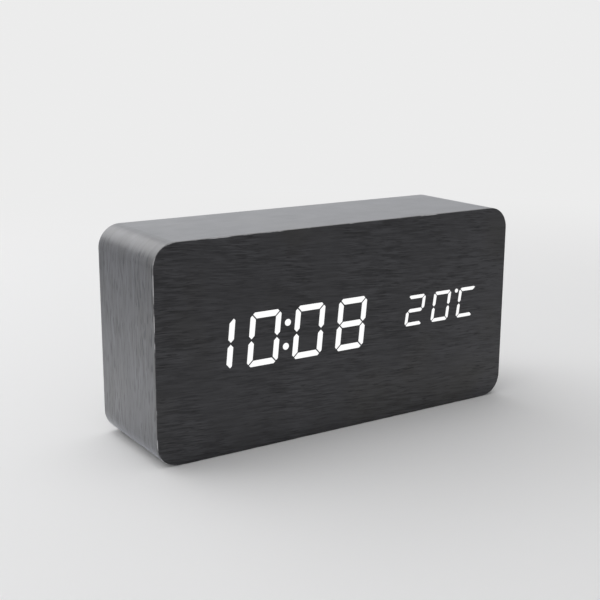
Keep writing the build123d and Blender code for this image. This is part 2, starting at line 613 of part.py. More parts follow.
def make_cover():
    """The moulded back cover with the battery bay, the bosses and all openings."""
    outline = rounded(
        COVER_WIDTH - 2 * COVER_GAP, COVER_HEIGHT - 2 * COVER_GAP, COVER_RADIUS - COVER_GAP, 0, MID_Z
    )
    cover = slab(outline, COVER_IN_Y, COVER_OUT_Y)
    cover = chamfer(edges_at(cover, COVER_OUT_Y), COVER_EDGE_CUT)
    tub = plain(BAY_LENGTH + 2 * BAY_WALL, BAY_HEIGHT + 2 * BAY_WALL, BAY_X, MID_Z)
    cover += slab(tub, BAY_FLOOR_Y - BAY_WALL, COVER_IN_Y)
    cover -= slab(plain(BAY_LENGTH, BAY_HEIGHT, BAY_X, MID_Z), BAY_FLOOR_Y, COVER_OUT_Y)
    lid = plain(BAY_LENGTH + 2 * BAY_LEDGE, BAY_HEIGHT + 2 * BAY_LEDGE, BAY_X, MID_Z)
    cover -= slab(lid, DOOR_IN_Y, COVER_OUT_Y)
    for low, high in zip(CELL_ZS, CELL_ZS[1:]):
        rib = plain(CELL_LENGTH - 2 * BAY_RIB_END, BAY_RIB_WIDTH, BAY_X, (low + high) / 2)
        cover += slab(rib, BAY_FLOOR_Y, BAY_FLOOR_Y + BAY_RIB_HEIGHT)
    for z in (CELL_ZS[0], CELL_ZS[-1]):
        cover -= lug_slot(z)
    cover -= door_sockets()
    notch = disc(FINGER_NOTCH_RADIUS, BAY_LEFT_X - BAY_LEDGE, MID_Z)
    notch -= plain(BAY_LENGTH, BAY_HEIGHT, BAY_X - BAY_LEDGE, MID_Z)
    cover -= slab(notch, COVER_OUT_Y - FINGER_NOTCH_DEPTH, COVER_OUT_Y)
    for x, z in BOSSES:
        boss = disc(BOSS_RADIUS, x, z) - disc(SMALL_SHANK_RADIUS + SCREW_FIT, x, z)
        cover += slab(boss, CONTROL_FACE_Y, COVER_IN_Y)
    for x in BUTTON_XS:
        hole = BUTTON_RADIUS + BUTTON_CLEARANCE
        cover -= slab(disc(hole, x, BUTTON_Z), COVER_IN_Y, COVER_OUT_Y)
        ring = disc(hole + BUTTON_RING_WIDTH, x, BUTTON_Z)
        cover -= slab(ring, COVER_OUT_Y - BUTTON_RING_DEPTH, COVER_OUT_Y)
    cover -= slab(slide_slot(SLIDE_KNOB_WIDTH, SLIDE_KNOB_HEIGHT), COVER_IN_Y, COVER_OUT_Y)
    recess = rounded(SLIDE_RECESS_WIDTH, SLIDE_RECESS_HEIGHT, SLIDE_RECESS_RADIUS, SLIDE_X, SLIDE_Z)
    cover -= slab(recess, COVER_OUT_Y - SLIDE_RECESS_DEPTH, COVER_OUT_Y)
    cover -= slab(grown(socket_outline(), SOCKET_CLEARANCE), COVER_IN_Y, COVER_OUT_Y)
    recess = rounded(SOCKET_PLUG_WIDTH, SOCKET_PLUG_HEIGHT, SOCKET_PLUG_RADIUS, SOCKET_X, SOCKET_Z)
    cover -= slab(recess, COVER_OUT_Y - SOCKET_PLUG_DEPTH, COVER_OUT_Y)
    cover -= slab(disc(MICROPHONE_PORT_RADIUS, CONTROL_X, MICROPHONE_Z), COVER_IN_Y, COVER_OUT_Y)
    for index in range(VENT_COUNT):
        x = CONTROL_X + (index - (VENT_COUNT - 1) / 2) * VENT_PITCH
        cover -= slab(upright_slot(VENT_LENGTH, VENT_WIDTH, x, VENT_Z), COVER_IN_Y, COVER_OUT_Y)
    for x, z in POSTS:
        cover -= slab(disc(SCREW_SHANK_RADIUS + SCREW_FIT, x, z), COVER_IN_Y, COVER_OUT_Y)
        head = disc(SCREW_HEAD_RADIUS + HEAD_CLEARANCE, x, z)
        cover -= slab(head, COVER_OUT_Y - SCREW_HEAD_HEIGHT, COVER_OUT_Y)
    return cover


def lug_slot(z):
    """The slot in the bay's wall that a contact's solder lug passes through."""
    slot = plain(BAY_WALL, LUG_WIDTH + 2 * LUG_CLEARANCE, BAY_LEFT_X - BAY_WALL / 2, z)
    half = CONTACT_THICKNESS / 2 + LUG_CLEARANCE
    return slab(slot, CELL_Y + LUG_RISE - half, CELL_Y + LUG_RISE + half)


def door_axis():
    """The place of the door's upright hinge axis, as x and y."""
    x = BAY_RIGHT_X + BAY_LEDGE - DOOR_GAP - DOOR_THICKNESS / 2
    return x, COVER_OUT_Y - DOOR_THICKNESS / 2


def door_sockets():
    """The two blind holes in the cover for the door's pins."""
    x, y = door_axis()
    radius = DOOR_PIN_RADIUS + DOOR_PIN_CLEARANCE
    reach = BAY_HEIGHT / 2 + BAY_LEDGE - DOOR_GAP + DOOR_PIN_LENGTH + DOOR_PIN_CLEARANCE
    return rod_z(radius, x, y, MID_Z - reach, MID_Z + reach)


def make_door():
    """The battery door: round along its hinge edge, with two pins, grip ribs and a snap nib."""
    axis_x, axis_y = door_axis()
    height = BAY_HEIGHT + 2 * BAY_LEDGE - 2 * DOOR_GAP
    free_x = BAY_LEFT_X - BAY_LEDGE + DOOR_GAP
    panel = slab(
        plain(axis_x - free_x, height, (axis_x + free_x) / 2, MID_Z), DOOR_IN_Y, COVER_OUT_Y
    )
    door = panel + rod_z(DOOR_THICKNESS / 2, axis_x, axis_y, MID_Z - height / 2, MID_Z + height / 2)
    reach = height / 2 + DOOR_PIN_LENGTH
    door += rod_z(DOOR_PIN_RADIUS, axis_x, axis_y, MID_Z - reach, MID_Z + reach)
    for index in range(DOOR_GRIP_RIBS):
        x = free_x + DOOR_GRIP_INSET + index * DOOR_GRIP_PITCH
        rib = upright_slot(DOOR_GRIP_LENGTH, DOOR_GRIP_WIDTH, x, MID_Z)
        door += slab(rib, COVER_OUT_Y, COVER_OUT_Y + DOOR_GRIP_HEIGHT)
    nib = plain(2 * DOOR_NIB_HEIGHT, DOOR_NIB_LENGTH, free_x, MID_Z)
    door += slab(nib, DOOR_IN_Y + DOOR_THICKNESS / 4, COVER_OUT_Y - DOOR_THICKNESS / 4)
    return door


def make_cell(index):
    """One cell along X, its nub towards the contact dimple. Every second cell is turned."""
    z = CELL_ZS[index]
    towards = -1 if index % 2 == 0 else 1
    end = BAY_LEFT_X if towards < 0 else BAY_RIGHT_X
    nub_x = end - towards * (CONTACT_THICKNESS + CONTACT_DIMPLE_HEIGHT)
    shoulder_x = nub_x - towards * CELL_NUB_LENGTH
    foot_x = nub_x - towards * CELL_LENGTH
    body = rod_x(CELL_RADIUS, foot_x, shoulder_x, CELL_Y, z)
    body = chamfer(body.edges().filter_by(GeomType.CIRCLE), CELL_EDGE_CUT)
    return body + rod_x(CELL_NUB_RADIUS, shoulder_x, nub_x, CELL_Y, z)


def contact_plate(end, inward, z_low, z_high):
    """A stamped plate against one end wall of the bay, over one cell or two."""
    outline = plain(
        CONTACT_THICKNESS,
        z_high - z_low + CONTACT_SIDE,
        end + inward * CONTACT_THICKNESS / 2,
        (z_low + z_high) / 2,
    )
    return slab(outline, CELL_Y - CONTACT_SIDE / 2, CELL_Y + CONTACT_SIDE / 2)


def contact_end(index, end, inward):
    """The dimple or the bowed spring that meets one end of a cell."""
    z = CELL_ZS[index]
    face_x = end + inward * CONTACT_THICKNESS
    nub_side = (index % 2 == 0) == (inward > 0)
    if nub_side:
        return rod_x(CONTACT_DIMPLE_RADIUS, face_x, face_x + inward * CONTACT_DIMPLE_HEIGHT, CELL_Y, z)
    half = CONTACT_BOW_SPAN / 2
    tip = face_x + inward * CONTACT_BOW
    outer = ThreePointArc((face_x, z - half), (tip, z), (face_x, z + half))
    hollow = half - CONTACT_THICKNESS
    inner = ThreePointArc(
        (face_x, z - hollow), (tip - inward * CONTACT_THICKNESS, z), (face_x, z + hollow)
    )
    feet = [
        Line((face_x, z - half), (face_x, z - hollow)),
        Line((face_x, z + half), (face_x, z + hollow)),
    ]
    bow = make_face([outer.edge(), inner.edge()] + [foot.edge() for foot in feet])
    return slab(bow, CELL_Y - CONTACT_BOW_WIDTH / 2, CELL_Y + CONTACT_BOW_WIDTH / 2)


def contact_lug(z):
    """The solder lug of an end contact, out through the bay's left wall."""
    length = CONTACT_THICKNESS + BAY_WALL + LUG_REACH
    outline = plain(length, LUG_WIDTH, BAY_LEFT_X + CONTACT_THICKNESS - length / 2, z)
    y = CELL_Y + LUG_RISE
    return slab(outline, y - CONTACT_THICKNESS / 2, y + CONTACT_THICKNESS / 2)


def make_contacts():
    """The stamped contacts: two with solder lugs, and the ones that join neighbouring cells."""
    contacts = []
    for end, inward in ((BAY_LEFT_X, 1), (BAY_RIGHT_X, -1)):
        if inward > 0:
            pairs = [[0]] + [[i, i + 1] for i in range(1, CELL_COUNT - 1, 2)] + [[CELL_COUNT - 1]]
        else:
            pairs = [[i, i + 1] for i in range(0, CELL_COUNT, 2)]
        for pair in pairs:
            contact = contact_plate(end, inward, CELL_ZS[pair[0]], CELL_ZS[pair[-1]])
            for index in pair:
                contact += contact_end(index, end, inward)
            if len(pair) == 1:
                contact += contact_lug(CELL_ZS[pair[0]])
            contacts.append(contact)
    return contacts


def make_leads():
    """The two battery leads, from the solder lugs to their pads on the control board."""
    leads = []
    start_x = BAY_LEFT_X - BAY_WALL - LUG_REACH
    pad_x = CONTROL_X + CONTROL_BOARD_WIDTH / 2 - LEAD_PAD_INSET
    y = CELL_Y + LUG_RISE
    drop = y - CONTROL_FACE_Y
    for z in (CELL_ZS[0], CELL_ZS[-1]):
        path = FilletPolyline(
            (start_x, y, z), (pad_x, y, z), (pad_x, CONTROL_FACE_Y, z), radius=LEAD_BEND_SHARE * drop
        )
        section = Plane(origin=(start_x, y, z), z_dir=(-1, 0, 0)) * Circle(LEAD_RADIUS)
        leads.append(sweep(section, path=path))
    return leads


def make_control_board():
    """The board behind the cover, screwed to its bosses."""
    outline = plain(CONTROL_BOARD_WIDTH, CONTROL_BOARD_HEIGHT, CONTROL_X, CONTROL_Z)
    board = slab(outline, CONTROL_BACK_Y, CONTROL_FACE_Y)
    for x, z in BOSSES:
        board -= slab(disc(SMALL_SHANK_RADIUS + SCREW_FIT, x, z), CONTROL_BACK_Y, CONTROL_FACE_Y)
    return board


def make_button(x):
    """A button cap with the flange that holds it behind the cover."""
    top_y = COVER_OUT_Y + BUTTON_PROUD
    cap = slab(disc(BUTTON_RADIUS, x, BUTTON_Z), PLUNGER_TOP_Y, top_y)
    cap = chamfer(edges_at(cap, top_y), BUTTON_EDGE_CUT)
    return cap + slab(disc(BUTTON_FLANGE_RADIUS, x, BUTTON_Z), PLUNGER_TOP_Y, FLANGE_TOP_Y)


def make_plunger(x):
    """The moving stem of a key switch, under its button."""
    return slab(disc(PLUNGER_RADIUS, x, BUTTON_Z), SWITCH_TOP_Y - PLUNGER_DEPTH, PLUNGER_TOP_Y)


def make_switches():
    """The housings of the three key switches, each with the hole that its plunger sinks into."""
    housings = []
    for x in BUTTON_XS:
        housing = slab(plain(SWITCH_SIDE, SWITCH_SIDE, x, BUTTON_Z), CONTROL_FACE_Y, SWITCH_TOP_Y)
        hole = disc(PLUNGER_RADIUS + PLUNGER_CLEARANCE, x, BUTTON_Z)
        housing -= slab(hole, CONTROL_FACE_Y + SWITCH_BASE, SWITCH_TOP_Y)
        housings.append(housing)
    return housings


def slide_slot(width, height):
    """The opening that something of the knob sweeps along its whole travel, with clearance."""
    return plain(
        width + SLIDE_TRAVEL + 2 * SLIDE_CLEARANCE, height + 2 * SLIDE_CLEARANCE, SLIDE_X, SLIDE_Z
    )


def make_slide_housing():
    """The housing of the sound switch, hollow for the knob's foot and slotted for its stem."""
    top_y = CONTROL_FACE_Y + SLIDE_HOUSING_DEPTH
    housing = slab(
        plain(SLIDE_HOUSING_WIDTH, SLIDE_HOUSING_HEIGHT, SLIDE_X, SLIDE_Z), CONTROL_FACE_Y, top_y
    )
    room_y = top_y - SLIDE_TOP - SLIDE_FOOT_DEPTH - 2 * SLIDE_CLEARANCE
    housing -= slab(slide_slot(SLIDE_FOOT_WIDTH, SLIDE_FOOT_HEIGHT), room_y, top_y - SLIDE_TOP)
    housing -= slab(slide_slot(SLIDE_KNOB_WIDTH, SLIDE_KNOB_HEIGHT), room_y, top_y)
    return housing


def make_slide_knob():
    """The knob of the sound switch, at the case side of its travel."""
    x = SLIDE_X - SLIDE_TRAVEL / 2
    foot_top = CONTROL_FACE_Y + SLIDE_HOUSING_DEPTH - SLIDE_TOP - SLIDE_CLEARANCE
    top_y = COVER_OUT_Y + SLIDE_KNOB_PROUD
    foot = slab(
        plain(SLIDE_FOOT_WIDTH, SLIDE_FOOT_HEIGHT, x, SLIDE_Z), foot_top - SLIDE_FOOT_DEPTH, foot_top
    )
    stem = slab(plain(SLIDE_KNOB_WIDTH, SLIDE_KNOB_HEIGHT, x, SLIDE_Z), foot_top, top_y)
    return foot + stem


def socket_outline():
    """The outer outline of the power socket's shell: a box with its lower corners cut."""
    half_w = SOCKET_WIDTH / 2
    half_h = SOCKET_HEIGHT / 2
    points = [
        (-half_w, half_h),
        (-half_w, -half_h + SOCKET_CORNER_CUT),
        (-half_w + SOCKET_CORNER_CUT, -half_h),
        (half_w - SOCKET_CORNER_CUT, -half_h),
        (half_w, -half_h + SOCKET_CORNER_CUT),
        (half_w, half_h),
    ]
    return Polygon(*[(SOCKET_X + x, SOCKET_Z + z) for x, z in points])


def make_socket_shell():
    """The open metal tube of the power socket."""
    ring = socket_outline() - grown(socket_outline(), -SOCKET_WALL)
    return slab(ring, CONTROL_FACE_Y, COVER_OUT_Y - SOCKET_RECESS)


def make_socket_core():
    """The plastic core of the power socket with its contact tongue."""
    plug = grown(socket_outline(), -SOCKET_WALL)
    core = slab(plug, CONTROL_FACE_Y, CONTROL_FACE_Y + SOCKET_CORE_DEPTH)
    tongue = plain(
        SOCKET_TONGUE_WIDTH, SOCKET_TONGUE_HEIGHT, SOCKET_X, SOCKET_Z + SOCKET_TONGUE_RISE
    )
    tip_y = COVER_OUT_Y - SOCKET_RECESS - SOCKET_TONGUE_SHY
    return core + slab(tongue, CONTROL_FACE_Y + SOCKET_CORE_DEPTH, tip_y)


def make_microphone():
    """The microphone capsule behind its port."""
    can = disc(MICROPHONE_RADIUS, CONTROL_X, MICROPHONE_Z)
    return slab(can, CONTROL_FACE_Y, CONTROL_FACE_Y + MICROPHONE_HEIGHT)


def make_buzzer():
    """The buzzer behind the vents, with its sound hole."""
    x = CONTROL_X - BOSS_REACH + BOSS_RADIUS + BUZZER_BOSS_GAP + BUZZER_RADIUS
    top_y = CONTROL_FACE_Y + BUZZER_HEIGHT
    can = slab(disc(BUZZER_RADIUS, x, VENT_Z), CONTROL_FACE_Y, top_y)
    return can - slab(disc(BUZZER_PORT_RADIUS, x, VENT_Z), top_y - BUZZER_PORT_DEPTH, top_y)


def make_thermistor():
    """The thermistor's bead on its two leads, behind the vents."""
    x = CONTROL_X + BEAD_OUT
    y = CONTROL_FACE_Y + BEAD_HEIGHT
    bead = Pos(x, y, VENT_Z) * Sphere(BEAD_RADIUS)
    for side in (-1, 1):
        bead += slab(disc(BEAD_LEAD_RADIUS, x + side * BEAD_LEAD_PITCH / 2, VENT_Z), CONTROL_FACE_Y, y)
    return bead


def make_headers():
    """The ribbon's header on each board."""
    low = slab(
        plain(HEADER_WIDTH, HEADER_HEIGHT, HEADER_X, HEADER_LOW_Z),
        DISPLAY_BOARD_BACK_Y,
        DISPLAY_BOARD_BACK_Y + HEADER_DEPTH,
    )
    high = slab(
        plain(HEADER_WIDTH, HEADER_HEIGHT, HEADER_X, HEADER_HIGH_Z),
        CONTROL_BACK_Y - HEADER_DEPTH,
        CONTROL_BACK_Y,
    )
    return [low, high]


def make_ribbon():
    """The flat ribbon from one header up to the other."""
    start_y = DISPLAY_BOARD_BACK_Y + HEADER_DEPTH
    end_y = CONTROL_BACK_Y - HEADER_DEPTH
    middle_y = (start_y + end_y) / 2
    bend = min(RIBBON_BEND_RADIUS, RIBBON_BEND_SHARE * (end_y - start_y) / 2)
    path = FilletPolyline(
        (HEADER_X, start_y, HEADER_LOW_Z),
        (HEADER_X, middle_y, HEADER_LOW_Z),
        (HEADER_X, middle_y, HEADER_HIGH_Z),
        (HEADER_X, end_y, HEADER_HIGH_Z),
        radius=bend,
    )
    section = Plane(
        origin=(HEADER_X, start_y, HEADER_LOW_Z), x_dir=(1, 0, 0), z_dir=(0, 1, 0)
    ) * Rectangle(RIBBON_WIDTH, RIBBON_THICKNESS)
    return sweep(section, path=path)


def make_cover_screws():
    """Four cross-head screws, sunk in the cover and driven into the posts."""
    screws = []
    for x, z in POSTS:
        head_y = COVER_OUT_Y - SCREW_HEAD_HEIGHT
        screw = slab(disc(SCREW_SHANK_RADIUS, x, z), COVER_IN_Y - SCREW_LENGTH, head_y)
        screw += slab(disc(SCREW_HEAD_RADIUS, x, z), head_y, COVER_OUT_Y)
        cross = plain(SCREW_CROSS_LENGTH, SCREW_CROSS_WIDTH, x, z)
        cross += plain(SCREW_CROSS_WIDTH, SCREW_CROSS_LENGTH, x, z)
        screw -= slab(cross, COVER_OUT_Y - SCREW_CROSS_DEPTH, COVER_OUT_Y)
        screws.append(screw)
    return screws


def make_small_screw(x, z, seat_y, board_y, outward):
    """A board screw: its head on the board and its shank in the seat behind the board."""
    tip_y = seat_y - outward * SMALL_LENGTH
    shank = slab(disc(SMALL_SHANK_RADIUS, x, z), min(tip_y, board_y), max(tip_y, board_y))
    top_y = board_y + outward * SMALL_HEAD_HEIGHT
    head = slab(disc(SMALL_HEAD_RADIUS, x, z), min(board_y, top_y), max(board_y, top_y))
    return shank + head


def make_display_screws():
    """Four screws that hold the display board to the front wall."""
    return [make_small_screw(x, z, WALL_BACK_Y, DISPLAY_BOARD_BACK_Y, 1) for x, z in DISPLAY_SCREWS]


def make_control_screws():
    """Three screws that hold the control board to the cover's bosses."""
    return [make_small_screw(x, z, CONTROL_FACE_Y, CONTROL_BACK_Y, -1) for x, z in BOSSES]


def build_nodes():
    """Every node of the clock by name, each one solid or a list of like solids."""
    nodes = {
        "wooden_case": make_case(),
        "front_fascia": make_fascia(),
        "display_reflector": make_reflector(),
        "dark_segments": lenses(DARK_FACES, CASE_FRONT_Y),
        "display_leds": make_leds(),
        "display_board": make_display_board(),
        "display_screws": make_display_screws(),
        "clock_chip": make_chip(),
        "clock_crystal": make_crystal(),
        "ribbon_headers": make_headers(),
        "display_ribbon": make_ribbon(),
        "control_board": make_control_board(),
        "control_screws": make_control_screws(),
        "key_switches": make_switches(),
        "sound_switch_housing": make_slide_housing(),
        "sound_switch_knob": make_slide_knob(),
        "power_socket_shell": make_socket_shell(),
        "power_socket_core": make_socket_core(),
        "microphone": make_microphone(),
        "buzzer": make_buzzer(),
        "thermistor": make_thermistor(),
        "back_cover": make_cover(),
        "cover_screws": make_cover_screws(),
        "battery_door": make_door(),
        "battery_contacts": make_contacts(),
        "battery_leads": make_leads(),
    }
    for name, faces in LIT_FACES.items():
        nodes[name] = lenses(faces, FRONT_Y)
    for name, x in zip(("set", "up", "down"), BUTTON_XS):
        nodes[name + "_button"] = make_button(x)
        nodes[name + "_plunger"] = make_plunger(x)
    for index in range(CELL_COUNT):
        nodes["battery_cell_" + str(index + 1)] = make_cell(index)
    return nodes


def main():
    """Builds every node and writes one file for each."""
    os.makedirs("parts", exist_ok=True)
    for name, shape in build_nodes().items():
        pieces = shape if isinstance(shape, list) else [shape]
        solids = [solid for piece in pieces for solid in piece.solids()]
        whole = solids[0] if len(solids) == 1 else Compound(children=solids)
        export_step(whole, "parts/" + name + ".step")


main()
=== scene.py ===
"""Dresses the digital LED desk clock: finishes for every solid, finer moulded pieces, studio and camera."""

import logging
import math
from abc import ABC, abstractmethod
from dataclasses import dataclass
from enum import Enum
from typing import Callable, ClassVar, Iterable, Optional, TypeVar, Union

import bmesh
import bpy
from mathutils import Matrix, Vector


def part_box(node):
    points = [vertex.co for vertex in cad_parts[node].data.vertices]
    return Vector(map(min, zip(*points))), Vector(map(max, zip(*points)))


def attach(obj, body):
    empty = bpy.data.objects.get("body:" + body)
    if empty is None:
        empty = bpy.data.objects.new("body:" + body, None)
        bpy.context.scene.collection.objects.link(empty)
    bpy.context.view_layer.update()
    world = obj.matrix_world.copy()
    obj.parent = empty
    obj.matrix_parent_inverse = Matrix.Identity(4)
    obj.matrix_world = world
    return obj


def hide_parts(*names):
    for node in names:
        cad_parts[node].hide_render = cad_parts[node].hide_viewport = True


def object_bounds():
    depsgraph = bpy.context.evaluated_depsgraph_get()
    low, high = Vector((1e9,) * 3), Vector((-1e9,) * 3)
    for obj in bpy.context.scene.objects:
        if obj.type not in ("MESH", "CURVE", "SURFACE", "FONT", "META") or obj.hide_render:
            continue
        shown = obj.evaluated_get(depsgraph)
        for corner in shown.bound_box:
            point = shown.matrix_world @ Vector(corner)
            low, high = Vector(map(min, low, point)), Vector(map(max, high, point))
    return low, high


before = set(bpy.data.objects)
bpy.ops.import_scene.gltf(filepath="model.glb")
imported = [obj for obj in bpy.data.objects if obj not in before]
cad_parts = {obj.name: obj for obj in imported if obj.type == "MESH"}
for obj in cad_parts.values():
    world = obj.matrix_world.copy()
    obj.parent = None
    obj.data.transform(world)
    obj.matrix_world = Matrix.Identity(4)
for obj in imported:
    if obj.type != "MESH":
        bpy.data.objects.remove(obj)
CAD_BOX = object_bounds()

LOG = logging.getLogger("clock")
MM = 0.001
TINY = 1e-6
SHARP = math.radians(32.0)
EDGE_STEPS = 3
BACKWARD = Vector((0.0, 1.0, 0.0))
SIDEWAYS = Vector((1.0, 0.0, 0.0))

Tree = bpy.types.NodeTree
Node = bpy.types.Node
Socket = bpy.types.NodeSocket
Sockets = bpy.types.bpy_prop_collection
Material = bpy.types.Material
Vert = bmesh.types.BMVert
Edge = bmesh.types.BMEdge
Face = bmesh.types.BMFace
Part = TypeVar("Part")
Range = tuple[float, float]
Triple = tuple[float, float, float]
Colour = Triple
Profile = tuple[Range, ...]
Feed = Union[Socket, float, Triple]
Choice = Callable[[Vector], bool]


def mm(*sizes: float) -> tuple[float, ...]:
    """Returns sizes in metres from millimetres."""
    return tuple(size * MM for size in sizes)


def unique(parts: Iterable[Part]) -> list[Part]:
    """Returns each part once, in the order of its first place."""
    return list(dict.fromkeys(parts))


def shaded(colour: Colour, factor: float) -> Colour:
    """Returns a colour that is darker or lighter by a factor."""
    return tuple(min(1.0, factor * part) for part in colour)


class Slot(Enum):
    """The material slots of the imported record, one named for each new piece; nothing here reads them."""

    BUTTON = "button_plastic"
    COVER = "cover_plastic"
    SCREW = "screw_steel"
    CELL = "cell_jacket"


class Body(Enum):
    """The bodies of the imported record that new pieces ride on."""

    CLOCK = "clock"
    SET_BUTTON = "set_button"
    UP_BUTTON = "up_button"
    DOWN_BUTTON = "down_button"
    SOUND_SWITCH = "sound_switch"


BUTTON_BODIES = (Body.SET_BUTTON, Body.UP_BUTTON, Body.DOWN_BUTTON)


@dataclass(frozen=True)
class Grain:
    """Wood grain: streaks and pores for each metre along X, Y and Z, and a turn in degrees about Y."""

    streaks: Triple
    pores: Triple
    rarity: float
    turn: float = 0.0


class GrainRun(Enum):
    """The two ways in which the wood grain lies."""

    ACROSS_FRONT = Grain((125.0, 125.0, 1750.0), (212.0, 212.0, 2975.0), 0.60, -4.0)
    ROUND_THE_BLOCK = Grain((62.0, 680.0, 62.0), (190.0, 1300.0, 190.0), 0.54)


class Graph:
    """A node tree with short calls that add and link nodes."""

    def __init__(self, tree: Tree) -> None:
        """Keeps the tree that nodes are added to."""
        self.tree = tree

    def add(self, kind: str, **settings: object) -> Node:
        """Adds one node.

        Args:
            kind: The node's type name.
            settings: Properties that are set on the node.

        Returns:
            The new node.
        """
        node = self.tree.nodes.new(kind)
        for name, value in settings.items():
            setattr(node, name, value)
        return node

    def feed(self, socket: Socket, value: Feed) -> None:
        """Links a socket to another, or sets its own value.

        Args:
            socket: The socket that takes the value.
            value: A socket, a number, a vector or a colour.
        """
        if isinstance(value, Socket):
            self.tree.links.new(value, socket)
        elif socket.type == "RGBA":
            socket.default_value = (*value, 1.0)
        else:
            socket.default_value = value

    def fill(self, node: Node, *values: Feed, **named: Feed) -> Sockets:
        """Feeds a node's inputs, in their order or by name.

        Args:
            node: The node.
            values: A value or a socket for each input, from the first one on.
            named: A value or a socket for an input by its name, with _ for a space.

        Returns:
            The node's outputs.
        """
        for socket, value in zip(node.inputs, values):
            self.feed(socket, value)
        for name, value in named.items():
            self.feed(node.inputs[name.replace("_", " ")], value)
        return node.outputs

    def math(self, operation: str, *values: Feed) -> Socket:
        """Returns the result of a Math node."""
        return self.fill(self.add("ShaderNodeMath", operation=operation), *values)["Value"]

    def vector(self, operation: str, *values: Feed) -> Socket:
        """Returns the vector that a Vector Math node puts out."""
        return self.fill(self.add("ShaderNodeVectorMath", operation=operation), *values)["Vector"]

    def measure(self, operation: str, *values: Feed) -> Socket:
        """Returns the number that a Vector Math node puts out."""
        return self.fill(self.add("ShaderNodeVectorMath", operation=operation), *values)["Value"]

    def times(self, *values: Feed) -> Socket:
        """Returns the product of two or three numbers."""
        product = self.math("MULTIPLY", *values[:2])
        return self.math("MULTIPLY", product, values[2]) if values[2:] else product

    def line(self, value: Feed, slope: Feed, start: Feed) -> Socket:
        """Returns a number times a slope, plus a start."""
        return self.math("MULTIPLY_ADD", value, slope, start)

    def ramp(self, value: Feed, low: Feed, high: Feed, start: float = 0.0, end: float = 1.0) -> Socket:
        """Returns a value mapped smoothly from low and high to start and end, and held past them."""
        node = self.add("ShaderNodeMapRange", interpolation_type="SMOOTHSTEP", clamp=True)
        return self.fill(node, value, low, high, start, end)["Result"]

    def _mixed(self, data_type: str, suffix: str, *values: Feed) -> Socket:
        """Mixes two colours or two numbers.

        Args:
            data_type: What the Mix node mixes.
            suffix: The last word of its sockets' identifiers.
            values: The share of the second, the first and the second.

        Returns:
            The mixed value's socket.
        """
        node = self.add("ShaderNodeMix", data_type=data_type)
        sockets = {socket.identifier: socket for socket in (*node.inputs, *node.outputs)}
        for name, value in zip(("Factor_Float", "A_" + suffix, "B_" + suffix), values):
            self.feed(sockets[name], value)
        return sockets["Result_" + suffix]

    def mix(self, share: Feed, first: Feed, second: Feed) -> Socket:
        """Returns a mix of two colours, by the share of the second."""
        return self._mixed("RGBA", "Color", share, first, second)

    def blend(self, share: Feed, first: Feed, second: Feed) -> Socket:
        """Returns a mix of two numbers, by the share of the second."""
        return self._mixed("FLOAT", "Float", share, first, second)

    def axis(self, vector: Feed, name: str) -> Socket:
        """Returns one part, X, Y or Z, of a vector."""
        return self.fill(self.add("ShaderNodeSeparateXYZ"), vector)[name]

    def noise(self, vector: Feed, cells: float, layers: float = 2.0, weight: float = 0.5) -> Socket:
        """Returns noise from 0 to 1: cells for each unit, finer layers that are added and their weight."""
        values = {"Vector": vector, "Scale": cells, "Detail": layers, "Roughness": weight}
        return self.fill(self.add("ShaderNodeTexNoise"), **values)["Fac"]

    def group(self, tree: Tree, **values: Feed) -> Sockets:
        """Returns the outputs of a shared group, placed with its own values."""
        return self.fill(self.add("ShaderNodeGroup", node_tree=tree), **values)


Recipe = Callable[[Graph, Sockets], tuple[Socket, ...]]


